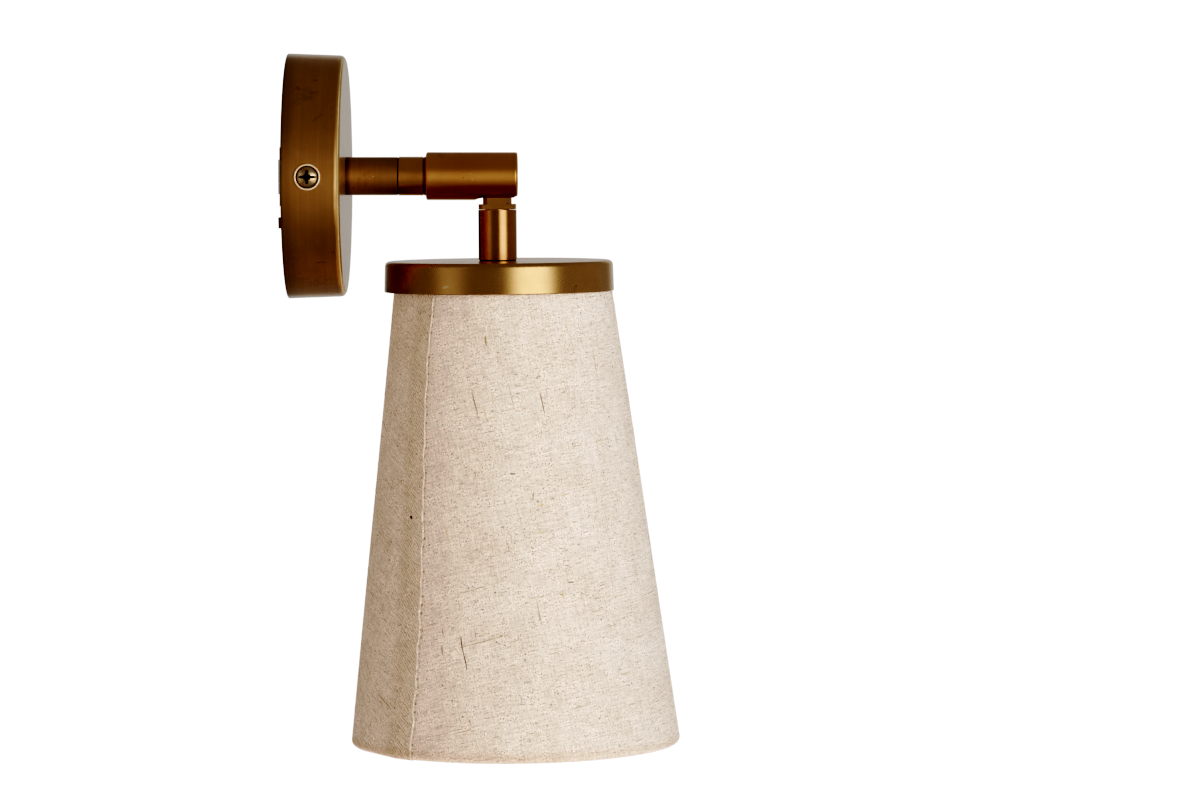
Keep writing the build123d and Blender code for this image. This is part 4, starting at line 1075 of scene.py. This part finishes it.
def panel(a0, a_half, e0, e_half, a_soft, e_soft):
    """1 inside a patch of the surround: azimuth right of the camera, elevation."""
    da = wt.math("ABSOLUTE", wt.math("SUBTRACT", az, a0))
    de = wt.math("ABSOLUTE", wt.math("SUBTRACT", el, e0))
    return wt.math("MULTIPLY", wt.remap(da, a_half + a_soft, a_half - a_soft), wt.remap(de, e_half + e_soft, e_half - e_soft))


level = wt.remap(el, 8.0, -22.0, 0.142, 0.165)
level = wt.math("ADD", level, wt.remap(el, -42.0, -75.0, 0.0, -0.045))
for a0, ah, e0, eh, asf, esf, power in (
    (35.3, 19.3, -1.0, 18.0, 9.6, 17.0, 1.25),     # key panel
    (-50.0, 11.0, 0.0, 26.0, 13.0, 18.0, 0.20),     # weak left panel
    (-136.0, 26.0, 0.0, 24.0, 13.0, 16.0, -0.14),   # dark behind the left shoulder
    (112.0, 38.0, 5.0, 40.0, 26.0, 20.0, 0.05),
):
    level = wt.math("ADD", level, wt.math("MULTIPLY", panel(a0, ah, e0, eh, asf, esf), power))
# a pale wall straight behind
back = wt.remap(wy, 0.80, 0.97)
back = wt.math("MULTIPLY", back, wt.remap(el, -45.0, -20.0))
level = wt.math("ADD", level, wt.math("MULTIPLY", back, 0.25))
level = wt.math("MAXIMUM", level, 0.02)
bg = wt.new("ShaderNodeBackground")
wt.put(bg.inputs["Color"], wt.join(level, level, level))
bg.inputs["Strength"].default_value = 1.0
white = wt.new("ShaderNodeBackground")
white.inputs["Color"].default_value = (1, 1, 1, 1)
white.inputs["Strength"].default_value = 1.05
lp = wt.new("ShaderNodeLightPath")
mixs = wt.new("ShaderNodeMixShader")
wt.put(mixs.inputs[0], lp.outputs["Is Camera Ray"])
wt.put(mixs.inputs[1], bg.outputs[0])
wt.put(mixs.inputs[2], white.outputs[0])
wout = wt.new("ShaderNodeOutputWorld")
wt.put(wout.inputs["Surface"], mixs.outputs[0])


def soft_light(name, azimuth, elevation, distance, size, level, color=(1, 1, 1), target=(0.09, 0.0, -0.12)):
    """A square soft light whose light, face on at the target, has that level
    (irradiance over pi). It lights matt surfaces and isn't mirrored."""
    d = bpy.data.lights.new(name, "AREA")
    d.shape = "SQUARE"
    d.size = size
    d.energy = level * math.pi * math.pi * distance * distance
    d.color = color
    o = bpy.data.objects.new(name, d)
    a, e = math.radians(azimuth), math.radians(elevation)
    v = np.array([math.sin(a) * math.cos(e), -math.cos(a) * math.cos(e), math.sin(e)])
    o.location = np.array(target) + v * distance
    # a light shines along its own -Z
    from mathutils import Vector
    o.rotation_euler = Vector(v).to_track_quat("Z", "Y").to_euler()
    scene.collection.objects.link(o)
    o.visible_glossy = False
    o.visible_camera = False
    return o


soft_light("key", 36.0, 4.0, 2.2, 1.5, 0.67, color=(0.84, 0.955, 0.985))
soft_light("warm_front", -10.0, 0.0, 2.2, 1.3, 0.10, color=(1.0, 0.50, 0.06))
soft_light("left_fill", -108.0, 0.0, 2.2, 1.3, 0.17, color=(1.0, 0.95, 0.74))
soft_light("top_fill", 40.0, 70.0, 2.2, 1.4, 0.12)
soft_light("back", 178.0, 12.0, 2.6, 1.6, 0.55)
soft_light("under", 20.0, -70.0, 2.0, 1.4, 0.25)

# print curve: crushed shadows, firm mid tones, gentle shoulder
vs = scene.view_settings
vs.view_transform = "Standard"
vs.look = "None"
vs.exposure = 0.0
vs.gamma = 1.0
vs.use_curve_mapping = True
cm = vs.curve_mapping
curve = cm.curves[3]
for x, y in ((0.055, 0.003), (0.09, 0.024), (0.135, 0.086), (0.217, 0.235), (0.35, 0.430), (0.564, 0.690), (0.85, 0.885)):
    curve.points.new(x, y)
cm.update()
